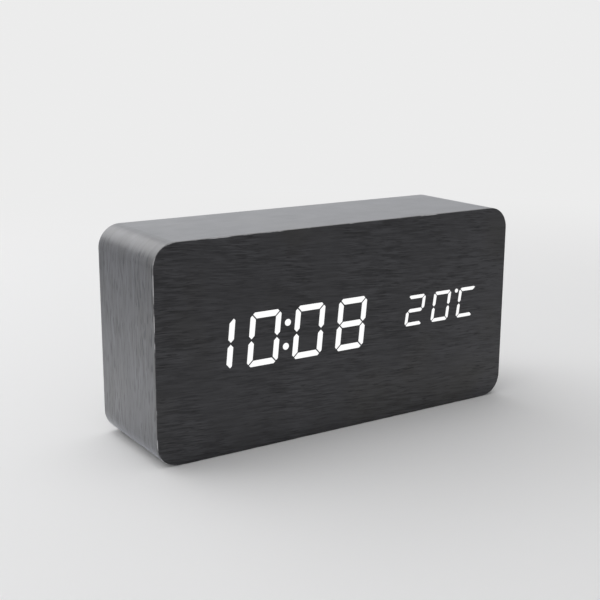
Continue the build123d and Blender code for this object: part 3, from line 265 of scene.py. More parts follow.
class Effects:
    """The shader groups that several finishes share, each built once.

    A noise is given by its cells, finer layers and their weight, and a ramp by where it starts and ends.
    """

    sway: Triple = (38.0, 2.0, 0.45)
    fine: Triple = (1.0, 3.0, 0.62)
    broad_scale: Triple = (0.2, 0.2, 0.2)
    broad_cells: Triple = (50.0, 50.0, 50.0)
    broad_share: float = 0.25
    patch_cells: float = 26.0
    lively_cells: float = 61.0
    lively: tuple[float, ...] = (0.36, 0.62, 0.45, 1.2)
    pore_noise: Range = (1.0, 1.0)
    pore_rise: float = 0.1
    pore_depth: float = 0.8
    edge_start: Range = (0.15, 0.4)
    edge_end: Range = (0.99, 0.85)
    rubbing: Range = (140.0, 3.0)
    rubbed: Range = (0.48, 0.66)
    pits: Triple = (1.0, 2.0, 0.6)
    drift_cells: float = 60.0
    drift_share: float = 0.3
    upward: Range = (0.35, 0.95)
    clouds: Triple = (55.0, 4.0, 0.6)
    clouded: Range = (0.35, 0.75)

    def __init__(self) -> None:
        """Builds every group."""
        grain = {"Scale": "Vector", "Pore Scale": "Vector", "Rarity": "Float", "Wave": "Float"}
        wooden = ("Tone", "Pores", "Patches", "Height")
        ageing = {"Normal": "Vector", "Amount": "Float"}
        self.streaks = self._group("wood_streaks", grain, wooden, self._streaks)
        self.wear = self._group("edge_wear", ageing, ("Mask",), self._wear)
        self.skin = self._group("moulded_skin", {"Grain": "Float"}, ("Tone", "Height"), self._skin)
        self.dust = self._group("dust", ageing, ("Mask",), self._dust)

    @staticmethod
    def _group(name: str, inputs: dict[str, str], outputs: tuple[str, ...], recipe: Recipe) -> Tree:
        """Makes one group with named sockets.

        Args:
            name: The group's name.
            inputs: The name and kind of each input beside the coordinates.
            outputs: The names of the outputs, all numbers.
            recipe: Adds the nodes, and returns a socket for each output.

        Returns:
            The group's tree.
        """
        tree = bpy.data.node_groups.new(name, "ShaderNodeTree")
        for label, kind in {"Vector": "Vector", **inputs}.items():
            tree.interface.new_socket(name=label, in_out="INPUT", socket_type="NodeSocket" + kind)
        for label in outputs:
            tree.interface.new_socket(name=label, in_out="OUTPUT", socket_type="NodeSocketFloat")
        graph = Graph(tree)
        results = recipe(graph, graph.add("NodeGroupInput").outputs)
        graph.fill(graph.add("NodeGroupOutput"), *results)
        return tree

    def _streaks(self, graph: Graph, given: Sockets) -> tuple[Socket, ...]:
        """Adds fine and broad streaks, short dark pores and large soft patches of wood.

        Args:
            graph: The group's graph.
            given: The group's inputs.

        Returns:
            The tone, the pores, the patches and the height.
        """
        place, scale, rarity = given["Vector"], given["Scale"], given["Rarity"]
        sway = graph.math("SUBTRACT", graph.noise(place, *self.sway), 0.5)
        waved = graph.vector("ADD", place, graph.times(sway, given["Wave"]))
        fine = graph.noise(graph.vector("MULTIPLY", waved, scale), *self.fine)
        loose = graph.vector("MULTIPLY_ADD", scale, self.broad_scale, self.broad_cells)
        broad = graph.noise(graph.vector("MULTIPLY", waved, loose), 1.0)
        patches = graph.noise(place, self.patch_cells)
        lively = graph.ramp(graph.noise(place, self.lively_cells), *self.lively)
        pitted = graph.noise(graph.vector("MULTIPLY", waved, given["Pore Scale"]), *self.pore_noise)
        pores = graph.ramp(pitted, rarity, graph.math("ADD", rarity, self.pore_rise))
        pores = graph.times(pores, graph.math("MINIMUM", lively, 1.0))
        streak = graph.line(broad, self.broad_share, graph.times(fine, 1.0 - self.broad_share))
        tone = graph.line(graph.math("SUBTRACT", streak, 0.5), lively, 0.5)
        return tone, pores, patches, graph.line(pores, -self.pore_depth, tone)

    def _wear(self, graph: Graph, given: Sockets) -> tuple[Socket, ...]:
        """Adds a broken line along the rounded edges, where the normal leaves Y and the XZ plane.

        Args:
            graph: The group's graph.
            given: The group's inputs.

        Returns:
            The mask of the worn line.
        """
        lean = graph.math("ABSOLUTE", graph.axis(given["Normal"], "Y"))
        band = graph.times(graph.ramp(lean, *self.edge_start), graph.ramp(lean, *self.edge_end))
        rubbed = graph.ramp(graph.noise(given["Vector"], *self.rubbing), *self.rubbed)
        return (graph.times(band, rubbed, given["Amount"]),)

    def _skin(self, graph: Graph, given: Sockets) -> tuple[Socket, ...]:
        """Adds the fine pitted skin of a spark-eroded mould, with a slow drift of tone.

        Args:
            graph: The group's graph.
            given: The group's inputs.

        Returns:
            The tone and the height.
        """
        pits = graph.noise(graph.vector("MULTIPLY", given["Vector"], given["Grain"]), *self.pits)
        drift = graph.noise(given["Vector"], self.drift_cells)
        return graph.line(drift, self.drift_share, graph.times(pits, 1.0 - self.drift_share)), pits

    def _dust(self, graph: Graph, given: Sockets) -> tuple[Socket, ...]:
        """Adds a thin uneven film of dust on faces that look upwards.

        Args:
            graph: The group's graph.
            given: The group's inputs.

        Returns:
            The mask of the dust.
        """
        upward = graph.ramp(graph.axis(given["Normal"], "Z"), *self.upward)
        cloud = graph.ramp(graph.noise(given["Vector"], *self.clouds), *self.clouded)
        return (graph.times(upward, cloud, given["Amount"]),)


EFFECTS = Effects()
DUST = (0.30, 0.29, 0.28)


class Shader(Graph):
    """One material being made: its node tree, its Principled shader and its coordinates."""

    def __init__(self, name: str) -> None:
        """Makes a material with one Principled shader.

        Args:
            name: The material's name.
        """
        self.material = bpy.data.materials.new(name)
        self.material.use_nodes = True
        super().__init__(self.material.node_tree)
        self.tree.nodes.clear()
        self.bsdf = self.add("ShaderNodeBsdfPrincipled")
        self.output = self.add("ShaderNodeOutputMaterial")
        self.fill(self.output, Surface=self.bsdf.outputs["BSDF"])
        place = self.add("ShaderNodeTexCoord").outputs
        self.object = place["Object"]
        self.normal = place["Normal"]

    def set(self, **values: Feed) -> None:
        """Sets or links inputs of the Principled shader, with _ for a space in a name."""
        self.fill(self.bsdf, **values)

    def bump(self, height: Feed, distance: float, strength: float = 1.0) -> None:
        """Turns a height from 0 to 1 into the shader's normal, over a distance and with a strength."""
        values = {"Height": height, "Distance": distance, "Strength": strength}
        self.set(Normal=self.fill(self.add("ShaderNodeBump"), **values)["Normal"])

    def lean(self, name: str) -> Socket:
        """Returns how much the surface faces along an axis, either way."""
        return self.math("ABSOLUTE", self.axis(self.normal, name))

    def mapped(self, scale: Triple = (1.0, 1.0, 1.0), turn: float = 0.0) -> Socket:
        """Returns Object coordinates, in cells for each metre, turned by degrees about Y."""
        values = {"Vector": self.object, "Scale": scale, "Rotation": (0.0, math.radians(turn), 0.0)}
        return self.fill(self.add("ShaderNodeMapping"), **values)["Vector"]

    def aged(self, colour: Socket, wear: float, worn: Colour, dust: float) -> Socket:
        """Rubs a colour along the edges and lays dust on it.

        Args:
            colour: The fresh colour.
            wear: How much of the edges is rubbed.
            worn: The colour of a rubbed edge; the veneer's pale one is partly wear and partly a painted
                highlight.
            dust: How much dust lies on faces that look upwards.

        Returns:
            The aged colour.
        """
        for effect, amount, over in ((EFFECTS.wear, wear, worn), (EFFECTS.dust, dust, DUST)):
            if amount:
                mask = self.group(effect, Vector=self.object, Normal=self.normal, Amount=amount)["Mask"]
                colour = self.mix(mask, colour, over)
        return colour


@dataclass(frozen=True)
class Finish(ABC):
    """One finish of the clock, which becomes one material."""

    name: str

    def material(self) -> Material:
        """Makes the material.

        Returns:
            The finished material.
        """
        shader = Shader(self.name)
        self.paint(shader)
        return shader.material

    @abstractmethod
    def paint(self, shader: Shader) -> None:
        """Adds the finish's nodes to a new material."""


@dataclass(frozen=True)
class WoodFinish(Finish):
    """Black wood grain in a satin lacquer, across the front and round the sides of the block."""

    face_dark: Colour
    face_light: Colour
    worn: Colour
    wear: float
    dust: float
    roughness: float
    specular: float
    sheen: float
    side_coat: float
    coat_roughness: float
    # Painted light: how far the tone rises towards the right end, over the span of X below
    painted_light_right: float = 0.0
    painted_light_span: Range = mm(26.0, 72.0)
    bare_board: Optional[Colour] = None
    bare_half: Triple = mm(71.1, 37.8, 33.6)
    bare_middle: Triple = mm(0.0, -20.2, 37.5)
    speckle: Triple = (900.0, 3.0, 0.7)
    speckled: Range = (0.3, 0.7)
    speckle_shade: float = 0.55
    side_dark: Colour = (0.015, 0.0155, 0.018)
    side_light: Colour = (0.054, 0.056, 0.066)
    warm: Colour = (0.045, 0.0432, 0.0395)
    warm_patch: tuple[float, ...] = (0.5, 0.75, 0.0, 0.5)
    sheen_tint: Colour = (0.88, 0.91, 1.0)
    sheen_roughness: float = 0.35
    gloss_swing: float = 0.08
    front_lean: Range = (0.6, 0.8)
    side_lean: Range = (0.75, 0.99)
    calm: float = 0.26
    mottling: Range = (110.0, 3.0)
    mottled: tuple[float, ...] = (0.3, 0.7, 0.45, 0.55)
    contrast: Range = (0.34, 0.66)
    pore_share: float = 0.65
    pore_shade: float = 0.35
    dull_pores: float = 0.5
    wave: float = 2.2 * MM
    relief: float = 0.03 * MM
    relief_share: float = 0.6
    side_relief: float = 2.8
    side_pores: float = 0.6

    def paint(self, shader: Shader) -> None:
        """Adds the grain of the faces and of the sides, their edges, dust and lacquer.

        Args:
            shader: The new material.
        """
        facing = shader.ramp(shader.lean("Y"), *self.front_lean)
        upright = shader.ramp(shader.lean("X"), *self.side_lean, self.calm, 1.0)
        face = self._grain(shader, GrainRun.ACROSS_FRONT)
        side = self._grain(shader, GrainRun.ROUND_THE_BLOCK)
        mottled = shader.ramp(shader.noise(shader.object, *self.mottling), *self.mottled)
        side_tone = shader.blend(upright, mottled, side["Tone"])
        tone = shader.ramp(shader.blend(facing, side_tone, face["Tone"]), *self.contrast)
        pores = shader.blend(facing, shader.times(side["Pores"], upright), face["Pores"])
        # Painted light: the tone rises towards the right end of the front, X 26 to 72 mm, so that end renders
        # lighter as if more light fell there
        if self.painted_light_right:
            painted_light_ramp = shader.ramp(shader.axis(shader.object, "X"), *self.painted_light_span, 0.0, self.painted_light_right)
            tone = shader.math("ADD", tone, painted_light_ramp)
        dark = shader.mix(facing, self.side_dark, self.face_dark)
        light = shader.mix(facing, self.side_light, self.face_light)
        colour = shader.mix(tone, dark, light)
        colour = shader.mix(shader.ramp(face["Patches"], *self.warm_patch), colour, self.warm)
        darkest = shaded(self.side_dark, self.pore_shade)
        colour = shader.mix(shader.times(pores, self.pore_share), colour, darkest)
        # On the veneer the pale rubbed colour is partly wear and partly a painted highlight along the rounded
        # front edges
        colour = shader.aged(colour, self.wear, self.worn, self.dust)
        if self.bare_board is not None:
            colour = shader.mix(self._inside(shader), colour, self._fibre(shader))
        rough = shader.line(tone, -self.gloss_swing, self.roughness + self.gloss_swing / 2)
        gloss = shader.line(pores, -self.dull_pores * self.side_coat, self.side_coat)
        ridged = shader.line(side["Pores"], -self.side_pores, shader.times(side["Tone"], self.side_relief))
        height = shader.blend(facing, shader.times(ridged, upright), face["Height"])
        shader.set(Base_Color=colour, Roughness=rough, Specular_IOR_Level=self.specular)
        shader.set(Coat_Weight=shader.blend(facing, gloss, 0.0), Coat_Roughness=self.coat_roughness)
        shader.set(Sheen_Weight=self.sheen, Sheen_Roughness=self.sheen_roughness, Sheen_Tint=self.sheen_tint)
        shader.bump(height, self.relief, self.relief_share)

    def _grain(self, shader: Shader, run: GrainRun) -> Sockets:
        """Places the streaks for one way of the grain.

        Args:
            shader: The material.
            run: How the grain lies.

        Returns:
            The outputs of the placed group.
        """
        grain = run.value
        sizes = {"Scale": grain.streaks, "Pore_Scale": grain.pores, "Rarity": grain.rarity, "Wave": self.wave}
        return shader.group(EFFECTS.streaks, Vector=shader.mapped(turn=grain.turn), **sizes)

    def _inside(self, shader: Shader) -> Socket:
        """Masks the milled pocket, which the film doesn't reach.

        Args:
            shader: The material.

        Returns:
            A mask that is 1 in the pocket.
        """
        away = shader.vector("ABSOLUTE", shader.vector("SUBTRACT", shader.object, self.bare_middle))
        over = shader.vector("SUBTRACT", away, self.bare_half)
        furthest = shader.math("MAXIMUM", shader.axis(over, "Y"), shader.axis(over, "Z"))
        return shader.math("LESS_THAN", shader.math("MAXIMUM", shader.axis(over, "X"), furthest), 0.0)

    def _fibre(self, shader: Shader) -> Socket:
        """Returns the speckled colour of bare fibre board."""
        speckle = shader.ramp(shader.noise(shader.object, *self.speckle), *self.speckled)
        return shader.mix(speckle, shaded(self.bare_board, self.speckle_shade), self.bare_board)


@dataclass(frozen=True)
class PlasticFinish(Finish):
    """Moulded plastic with a fine skin."""

    base: Colour
    roughness: float
    grain: float = 2600.0
    relief: float = 0.02 * MM
    spread: float = 0.25
    contrast: Range = (0.3, 0.7)
    gloss_swing: float = 0.12
    specular: float = 0.5
    wear: float = 0.0
    worn: Colour = (0.2, 0.2, 0.2)
    dust: float = 0.0
    coat: float = 0.0
    coat_roughness: float = 0.15

    def paint(self, shader: Shader) -> None:
        """Adds the moulded skin, rubbed edges and dust.

        Args:
            shader: The new material.
        """
        skin = shader.group(EFFECTS.skin, Vector=shader.object, Grain=self.grain)
        low, high = (shaded(self.base, share) for share in (1 - self.spread, 1 + self.spread))
        colour = shader.mix(shader.ramp(skin["Tone"], *self.contrast), low, high)
        colour = shader.aged(colour, self.wear, self.worn, self.dust)
        rough = shader.line(skin["Tone"], self.gloss_swing, self.roughness - self.gloss_swing / 2)
        shader.set(Base_Color=colour, Roughness=rough, Specular_IOR_Level=self.specular)
        shader.set(Coat_Weight=self.coat, Coat_Roughness=self.coat_roughness)
        shader.bump(skin["Height"], self.relief)


@dataclass(frozen=True)
class MetalFinish(Finish):
    """Plated or stamped metal with rolling marks and a slight tarnish."""

    bright: Colour
    tarnish: Colour
    roughness: float
    marks: Triple = (4000.0, 400.0, 400.0)
    rolling: Triple = (1.0, 3.0, 0.6)
    relief: float = 0.004 * MM
    clouds: Range = (240.0, 3.0)
    clouded: Range = (0.45, 0.75)
    gloss_swing: float = 0.16
    gloss_lift: float = 0.05

    def paint(self, shader: Shader) -> None:
        """Adds the rolling marks and clouds of tarnish.

        Args:
            shader: The new material.
        """
        lines = shader.noise(shader.mapped(self.marks), *self.rolling)
        cloud = shader.ramp(shader.noise(shader.object, *self.clouds), *self.clouded)
        rough = shader.line(lines, self.gloss_swing, self.roughness - self.gloss_lift)
        shader.set(Base_Color=shader.mix(cloud, self.bright, self.tarnish), Metallic=1.0, Roughness=rough)
        shader.bump(lines, self.relief)


@dataclass(frozen=True)
class LensFinish(Finish):
    """Milky epoxy of a display segment, lit or dark."""

    base: Colour
    strength: float = 0.0
    glow: Colour = (1.0, 1.0, 1.0)
    roughness: float = 0.35
    relief: float = 0.003 * MM
    haze_cells: float = 420.0
    haze: Range = (0.28, 0.7)
    hazy_base: float = 0.94
    hazy_glow: float = 0.97

    def paint(self, shader: Shader) -> None:
        """Adds the haze of the epoxy, and its glow where it is lit.

        Args:
            shader: The new material.
        """
        haze = shader.ramp(shader.noise(shader.object, self.haze_cells), *self.haze)
        colour = shader.mix(haze, shaded(self.base, self.hazy_base), self.base)
        shader.set(Base_Color=colour, Roughness=self.roughness)
        if self.strength:
            glow = shader.mix(haze, shaded(self.glow, self.hazy_glow), self.glow)
            shader.set(Emission_Color=glow, Emission_Strength=self.strength)
        shader.bump(haze, self.relief)


@dataclass(frozen=True)
class BoardFinish(Finish):
    """Solder mask over copper tracks, with plated pads."""

    mask: Colour = (0.012, 0.085, 0.03)
    track: Colour = (0.03, 0.16, 0.06)
    pad: Colour = (0.6, 0.58, 0.5)
    track_pitch: float = 150.0
    track_width: float = 0.06
    pad_pitch: float = 200.0
    pad_edge: Range = (0.13, 0.10)
    roughness: Range = (0.32, 0.25)
    relief: float = 0.02 * MM

    def paint(self, shader: Shader) -> None:
        """Adds the tracks and the pads.

        Args:
            shader: The new material.
        """
        bricks = {"Vector": shader.object, "Scale": self.track_pitch, "Mortar_Size": self.track_width}
        tracks = shader.fill(shader.add("ShaderNodeTexBrick"), **bricks)["Fac"]
        dots = shader.add("ShaderNodeTexVoronoi", feature="F1")
        distance = shader.fill(dots, Vector=shader.object, Scale=self.pad_pitch)["Distance"]
        pads = shader.ramp(distance, *self.pad_edge)
        colour = shader.mix(pads, shader.mix(tracks, self.mask, self.track), self.pad)
        rough = shader.ramp(pads, 0.0, 1.0, *self.roughness)
        shader.set(Base_Color=colour, Metallic=pads, Roughness=rough)
        shader.bump(shader.math("ADD", tracks, pads), self.relief)


@dataclass(frozen=True)
class SleeveFinish(Finish):
    """A soft sleeve whose colour changes along one axis, as on cells and leads."""

    first: Colour
    second: Colour
    axis: str
    start: float
    end: float
    roughness: float
    grain: float = 1800.0
    contrast: Range = (0.3, 0.7)
    shade: float = 0.85
    gloss_swing: float = 0.1
    relief: float = 0.01 * MM

    def paint(self, shader: Shader) -> None:
        """Adds the two colours and the sleeve's skin.

        Args:
            shader: The new material.
        """
        along = shader.axis(shader.object, self.axis)
        past_start = shader.math("GREATER_THAN", along, self.start)
        band = shader.times(past_start, shader.math("LESS_THAN", along, self.end))
        skin = shader.group(EFFECTS.skin, Vector=shader.object, Grain=self.grain)
        tone = shader.ramp(skin["Tone"], *self.contrast)
        pair = (self.first, self.second)
        colours = [shader.mix(tone, shaded(colour, self.shade), colour) for colour in pair]
        rough = shader.line(skin["Tone"], self.gloss_swing, self.roughness - self.gloss_swing / 2)
        shader.set(Base_Color=shader.mix(band, *colours), Roughness=rough)
        shader.bump(skin["Height"], self.relief)


FILM = WoodFinish(
    "wood_film", face_dark=(0.016, 0.0165, 0.0185), face_light=(0.054, 0.056, 0.063),
    worn=(0.3, 0.3, 0.31), wear=0.5, dust=0.05, roughness=0.37, specular=0.18, sheen=0.5,
    side_coat=0.66, coat_roughness=0.37, bare_board=(0.25, 0.15, 0.075),
)
# The veneer's pale worn colour paints a highlight along the fascia's rounded edges as well as wear; its tone
# rises towards the right end as painted light
VENEER = WoodFinish(
    "wood_veneer", face_dark=(0.0255, 0.0255, 0.028), face_light=(0.0605, 0.0605, 0.0663),
    worn=(0.65, 0.65, 0.67), wear=0.8, dust=0.0, roughness=0.5, specular=0.28, sheen=0.0,
    side_coat=0.95, coat_roughness=0.42, painted_light_right=0.3,
)
LIT_LENS = LensFinish("lit_lens", (0.3, 0.3, 0.3), strength=0.86)
DARK_LENS = LensFinish("unlit_lens", (0.55, 0.55, 0.53))
REFLECTOR = PlasticFinish("reflector_plastic", (0.75, 0.75, 0.73), 0.5, spread=0.04)
PHOSPHOR = PlasticFinish("led_chip", (0.85, 0.72, 0.3), 0.3, grain=6000.0, spread=0.08)
BOARD = BoardFinish("circuit_board")
SCREW_STEEL = MetalFinish("screw_steel", (0.42, 0.42, 0.43), (0.30, 0.29, 0.27), 0.34)
CAN_METAL = MetalFinish("can_metal", (0.6, 0.6, 0.6), (0.5, 0.49, 0.46), 0.28)
NICKEL = MetalFinish("contact_nickel", (0.66, 0.64, 0.59), (0.55, 0.5, 0.42), 0.3, (400.0, 400.0, 4000.0))
CHIP_EPOXY = PlasticFinish("chip_epoxy", (0.02, 0.02, 0.02), 0.6, grain=4000.0)
HEADER = PlasticFinish("header_plastic", (0.8, 0.77, 0.66), 0.45, spread=0.05)
RIBBON = PlasticFinish("ribbon_sleeve", (0.35, 0.35, 0.37), 0.5, grain=1200.0, spread=0.1)
SWITCH = PlasticFinish("switch_plastic", (0.022, 0.022, 0.023), 0.5)
BUTTON = PlasticFinish("button_plastic", (0.055, 0.055, 0.057), 0.42, wear=0.4)
BEAD = PlasticFinish("bead_epoxy", (0.02, 0.02, 0.02), 0.25, grain=900.0, coat=0.5)
COVER = PlasticFinish(
    "cover_plastic", (0.024, 0.024, 0.026), 0.52, grain=2300.0, relief=0.035 * MM, wear=0.25, dust=0.1,
)
MARK = PlasticFinish("raised_mark", (0.075, 0.075, 0.078), 0.5, grain=2300.0, dust=0.1)
LEADS = SleeveFinish("lead_sleeve", (0.02, 0.02, 0.02), (0.42, 0.02, 0.02), "Z", 37.5 * MM, 1.0, 0.45)
CELL = SleeveFinish("cell_jacket", (0.25, 0.26, 0.28), (0.035, 0.06, 0.11), "X", 27.0 * MM, 37.5 * MM, 0.32)


class Wardrobe:
    """Makes each finish's material once, on its first use."""

    def __init__(self) -> None:
        """Starts with no material made."""
        self.made: dict[Finish, Material] = {}

    def material(self, finish: Finish) -> Material:
        """Finds or makes a finish's material.

        Args:
            finish: The finish.

        Returns:
            Its material.
        """
        if finish not in self.made:
            self.made[finish] = finish.material()
        return self.made[finish]


class Workpiece:
    """A new piece being modelled in metres, at its own place."""

    def __init__(self, name: str) -> None:
        """Starts an empty piece."""
        self.name = name
        self.shell = bmesh.new()

    def block(self, size: Triple, middle: Vector, rounding: float = 0.0) -> None:
        """Adds a box.

        Args:
            size: Its lengths along X, Y and Z.
            middle: Its middle.
            rounding: Radius of its edges, or 0 for sharp ones.
        """
        made = bmesh.ops.create_cube(self.shell, size=1.0)["verts"]
        bmesh.ops.scale(self.shell, vec=size, verts=made)
        bmesh.ops.translate(self.shell, vec=middle, verts=made)
        if rounding:
            self.bevel(unique(edge for vert in made for edge in vert.link_edges), rounding, EDGE_STEPS)

    def bevel(self, edges: list[Edge], offset: float, segments: int) -> None:
        """Rounds edges.

        Args:
            edges: The edges.
            offset: How far the rounding reaches.
            segments: Steps in the rounding.
        """
        bmesh.ops.bevel(
            self.shell, geom=edges, offset=offset, segments=segments, profile=0.5, affect="EDGES", material=-1
        )

    def turned(self, profile: Iterable[Range], place: Vector, axis: Vector, steps: int) -> None:
        """Adds a turned form.

        Args:
            profile: Radii and heights along the axis.
            place: The foot of the axis, where the height is 0.
            axis: The direction of the axis.
            steps: Steps round the axis.
        """
        across = axis.orthogonal().normalized()
        verts = [self.shell.verts.new(place + across * radius + axis * height) for radius, height in profile]
        edges = [self.shell.edges.new(pair) for pair in zip(verts, verts[1:])]
        full_turn = {"angle": 2 * math.pi, "steps": steps, "use_merge": True}
        bmesh.ops.spin(self.shell, geom=verts + edges, cent=place, axis=axis, **full_turn)

    def plate(self, sides: int, radius: float, middle: Vector, height: float, turn: float) -> None:
        """Adds a flat plate with straight sides that stands out along Y.

        Args:
            sides: Number of sides.
            radius: From the middle to a corner.
            middle: The middle of the foot.
            height: How far it stands out.
            turn: Degrees about Y.
        """
        tilt = Matrix.Rotation(math.radians(turn), 4, "Y") @ Matrix.Rotation(math.radians(-90.0), 4, "X")
        made = bmesh.ops.create_circle(
            self.shell, cap_ends=True, segments=sides, radius=radius, matrix=Matrix.Translation(middle) @ tilt
        )["verts"]
        self._extrude(unique(face for vert in made for face in vert.link_faces), BACKWARD * height)

    def _extrude(self, faces: list[Face], shift: Vector) -> list[Vert]:
        """Moves copies of faces, with walls round them.

        Args:
            faces: The faces, which stay as they are.
            shift: How far the copies move.

        Returns:
            The vertices of the copies.
        """
        grown = bmesh.ops.extrude_face_region(self.shell, geom=faces)["geom"]
        moved = [part for part in grown if isinstance(part, Vert)]
        bmesh.ops.translate(self.shell, vec=shift, verts=moved)
        return moved

    def pull(self, chosen: Choice, shift: Vector) -> list[Vert]:
        """Moves faces out or in, with walls round them.

        Args:
            chosen: Tells from a face's middle whether it is one of them.
            shift: How far the faces move.

        Returns:
            The vertices that moved.
        """
        faces = self.faces_at(chosen)
        moved = self._extrude(faces, shift)
        spare = [face for face in faces if face.is_valid]
        bmesh.ops.delete(self.shell, geom=spare, context="FACES_ONLY")
        return moved

    def slice(self, place: Vector, normal: Vector, reach: float) -> None:
        """Cuts new edges into the faces near a place, along a plane.

        Args:
            place: A point of the plane.
            normal: The direction that the plane faces.
            reach: How far from the place faces are cut.
        """
        faces = self.faces_at(lambda spot: (spot - place).length < reach)
        rims = unique(part for face in faces for part in (*face.edges, *face.verts))
        bmesh.ops.bisect_plane(
            self.shell, geom=faces + rims, plane_co=place, plane_no=normal, dist=TINY / 100
        )

    def faces_at(self, chosen: Choice) -> list[Face]:
        """Returns the faces whose middles are chosen."""
        return [face for face in self.shell.faces if chosen(face.calc_center_median())]

    def edges_at(self, chosen: Choice) -> list[Edge]:
        """Returns the edges whose two ends are chosen."""
        return [edge for edge in self.shell.edges if all(chosen(vert.co) for vert in edge.verts)]

    def soften(self, offset: float, segments: int) -> None:
        """Rounds every sharp edge."""
        bmesh.ops.recalc_face_normals(self.shell, faces=self.shell.faces)
        self.bevel([edge for edge in self.shell.edges if edge.calc_face_angle(0.0) > SHARP], offset, segments)

    def paint(self, index: int, chosen: Choice) -> None:
        """Gives the chosen faces another material slot."""
        for face in self.faces_at(chosen):
            face.material_index = index

    def _object(self) -> bpy.types.Object:
        """Closes the mesh and turns it into an object of the scene.

        Returns:
            The object.
        """
        bmesh.ops.remove_doubles(self.shell, verts=self.shell.verts, dist=TINY)
        bmesh.ops.recalc_face_normals(self.shell, faces=self.shell.faces)
        mesh = bpy.data.meshes.new(self.name)
        self.shell.to_mesh(mesh)
        self.shell.free()
        mesh.shade_smooth()
        mesh.set_sharp_from_angle(angle=SHARP)
        piece = bpy.data.objects.new(self.name, mesh)
        bpy.context.scene.collection.objects.link(piece)
        return piece

    def finish(
        self, materials: list[Material], body: Body, slot: Slot, replaces: Optional[str] = None
    ) -> None:
        """Turns the piece into an object that rides on a body.

        Args:
            materials: Its materials, in the order of its slots.
            body: The body that it rides on.
            slot: The record's material slot; not used.
            replaces: The CAD node that it stands for, where there is one.
        """
        piece = self._object()
        for material in materials:
            piece.data.materials.append(material)
        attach(piece, body.value)
        if replaces:
            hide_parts(replaces)
        LOG.info("%s rides on %s, %d faces", self.name, body.value, len(piece.data.polygons))


@dataclass
class SubAssembly:
    """CAD nodes that are dressed together, with the finer pieces that are modelled for them."""

    wardrobe: Wardrobe
    wears: ClassVar[dict[Finish, tuple[str, ...]]] = {}

    def dress(self) -> None:
        """Gives each CAD node of the sub-assembly its material."""
        for finish, names in self.wears.items():
            for name in names:
                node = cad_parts[name]
                node.data.materials.clear()
                node.data.materials.append(self.wardrobe.material(finish))
                LOG.info("%s wears %s", name, finish.name)

    def build(self) -> None:
        """Models the finer pieces, where there are any."""


@dataclass
class Case(SubAssembly):
    """The block of board in its wood-grain film, and the veneered fascia."""

    wears = {FILM: ("wooden_case",), VENEER: ("front_fascia",)}


@dataclass
class Display(SubAssembly):
    """The seven-segment display behind the fascia."""

    wears = {
        REFLECTOR: ("display_reflector",),
        DARK_LENS: ("dark_segments",),
        PHOSPHOR: ("display_leds",),
        BOARD: ("display_board",),
        SCREW_STEEL: ("display_screws",),
        CHIP_EPOXY: ("clock_chip",),
        CAN_METAL: ("clock_crystal",),
        HEADER: ("ribbon_headers",),
        RIBBON: ("display_ribbon",),
        LIT_LENS: (
            "hour_tens_segments", "hour_units_segments", "minute_tens_segments", "minute_units_segments",
            "temperature_tens_segments", "temperature_units_segments", "celsius_segments",
            "colon_dots", "degree_dot",
        ),
    }


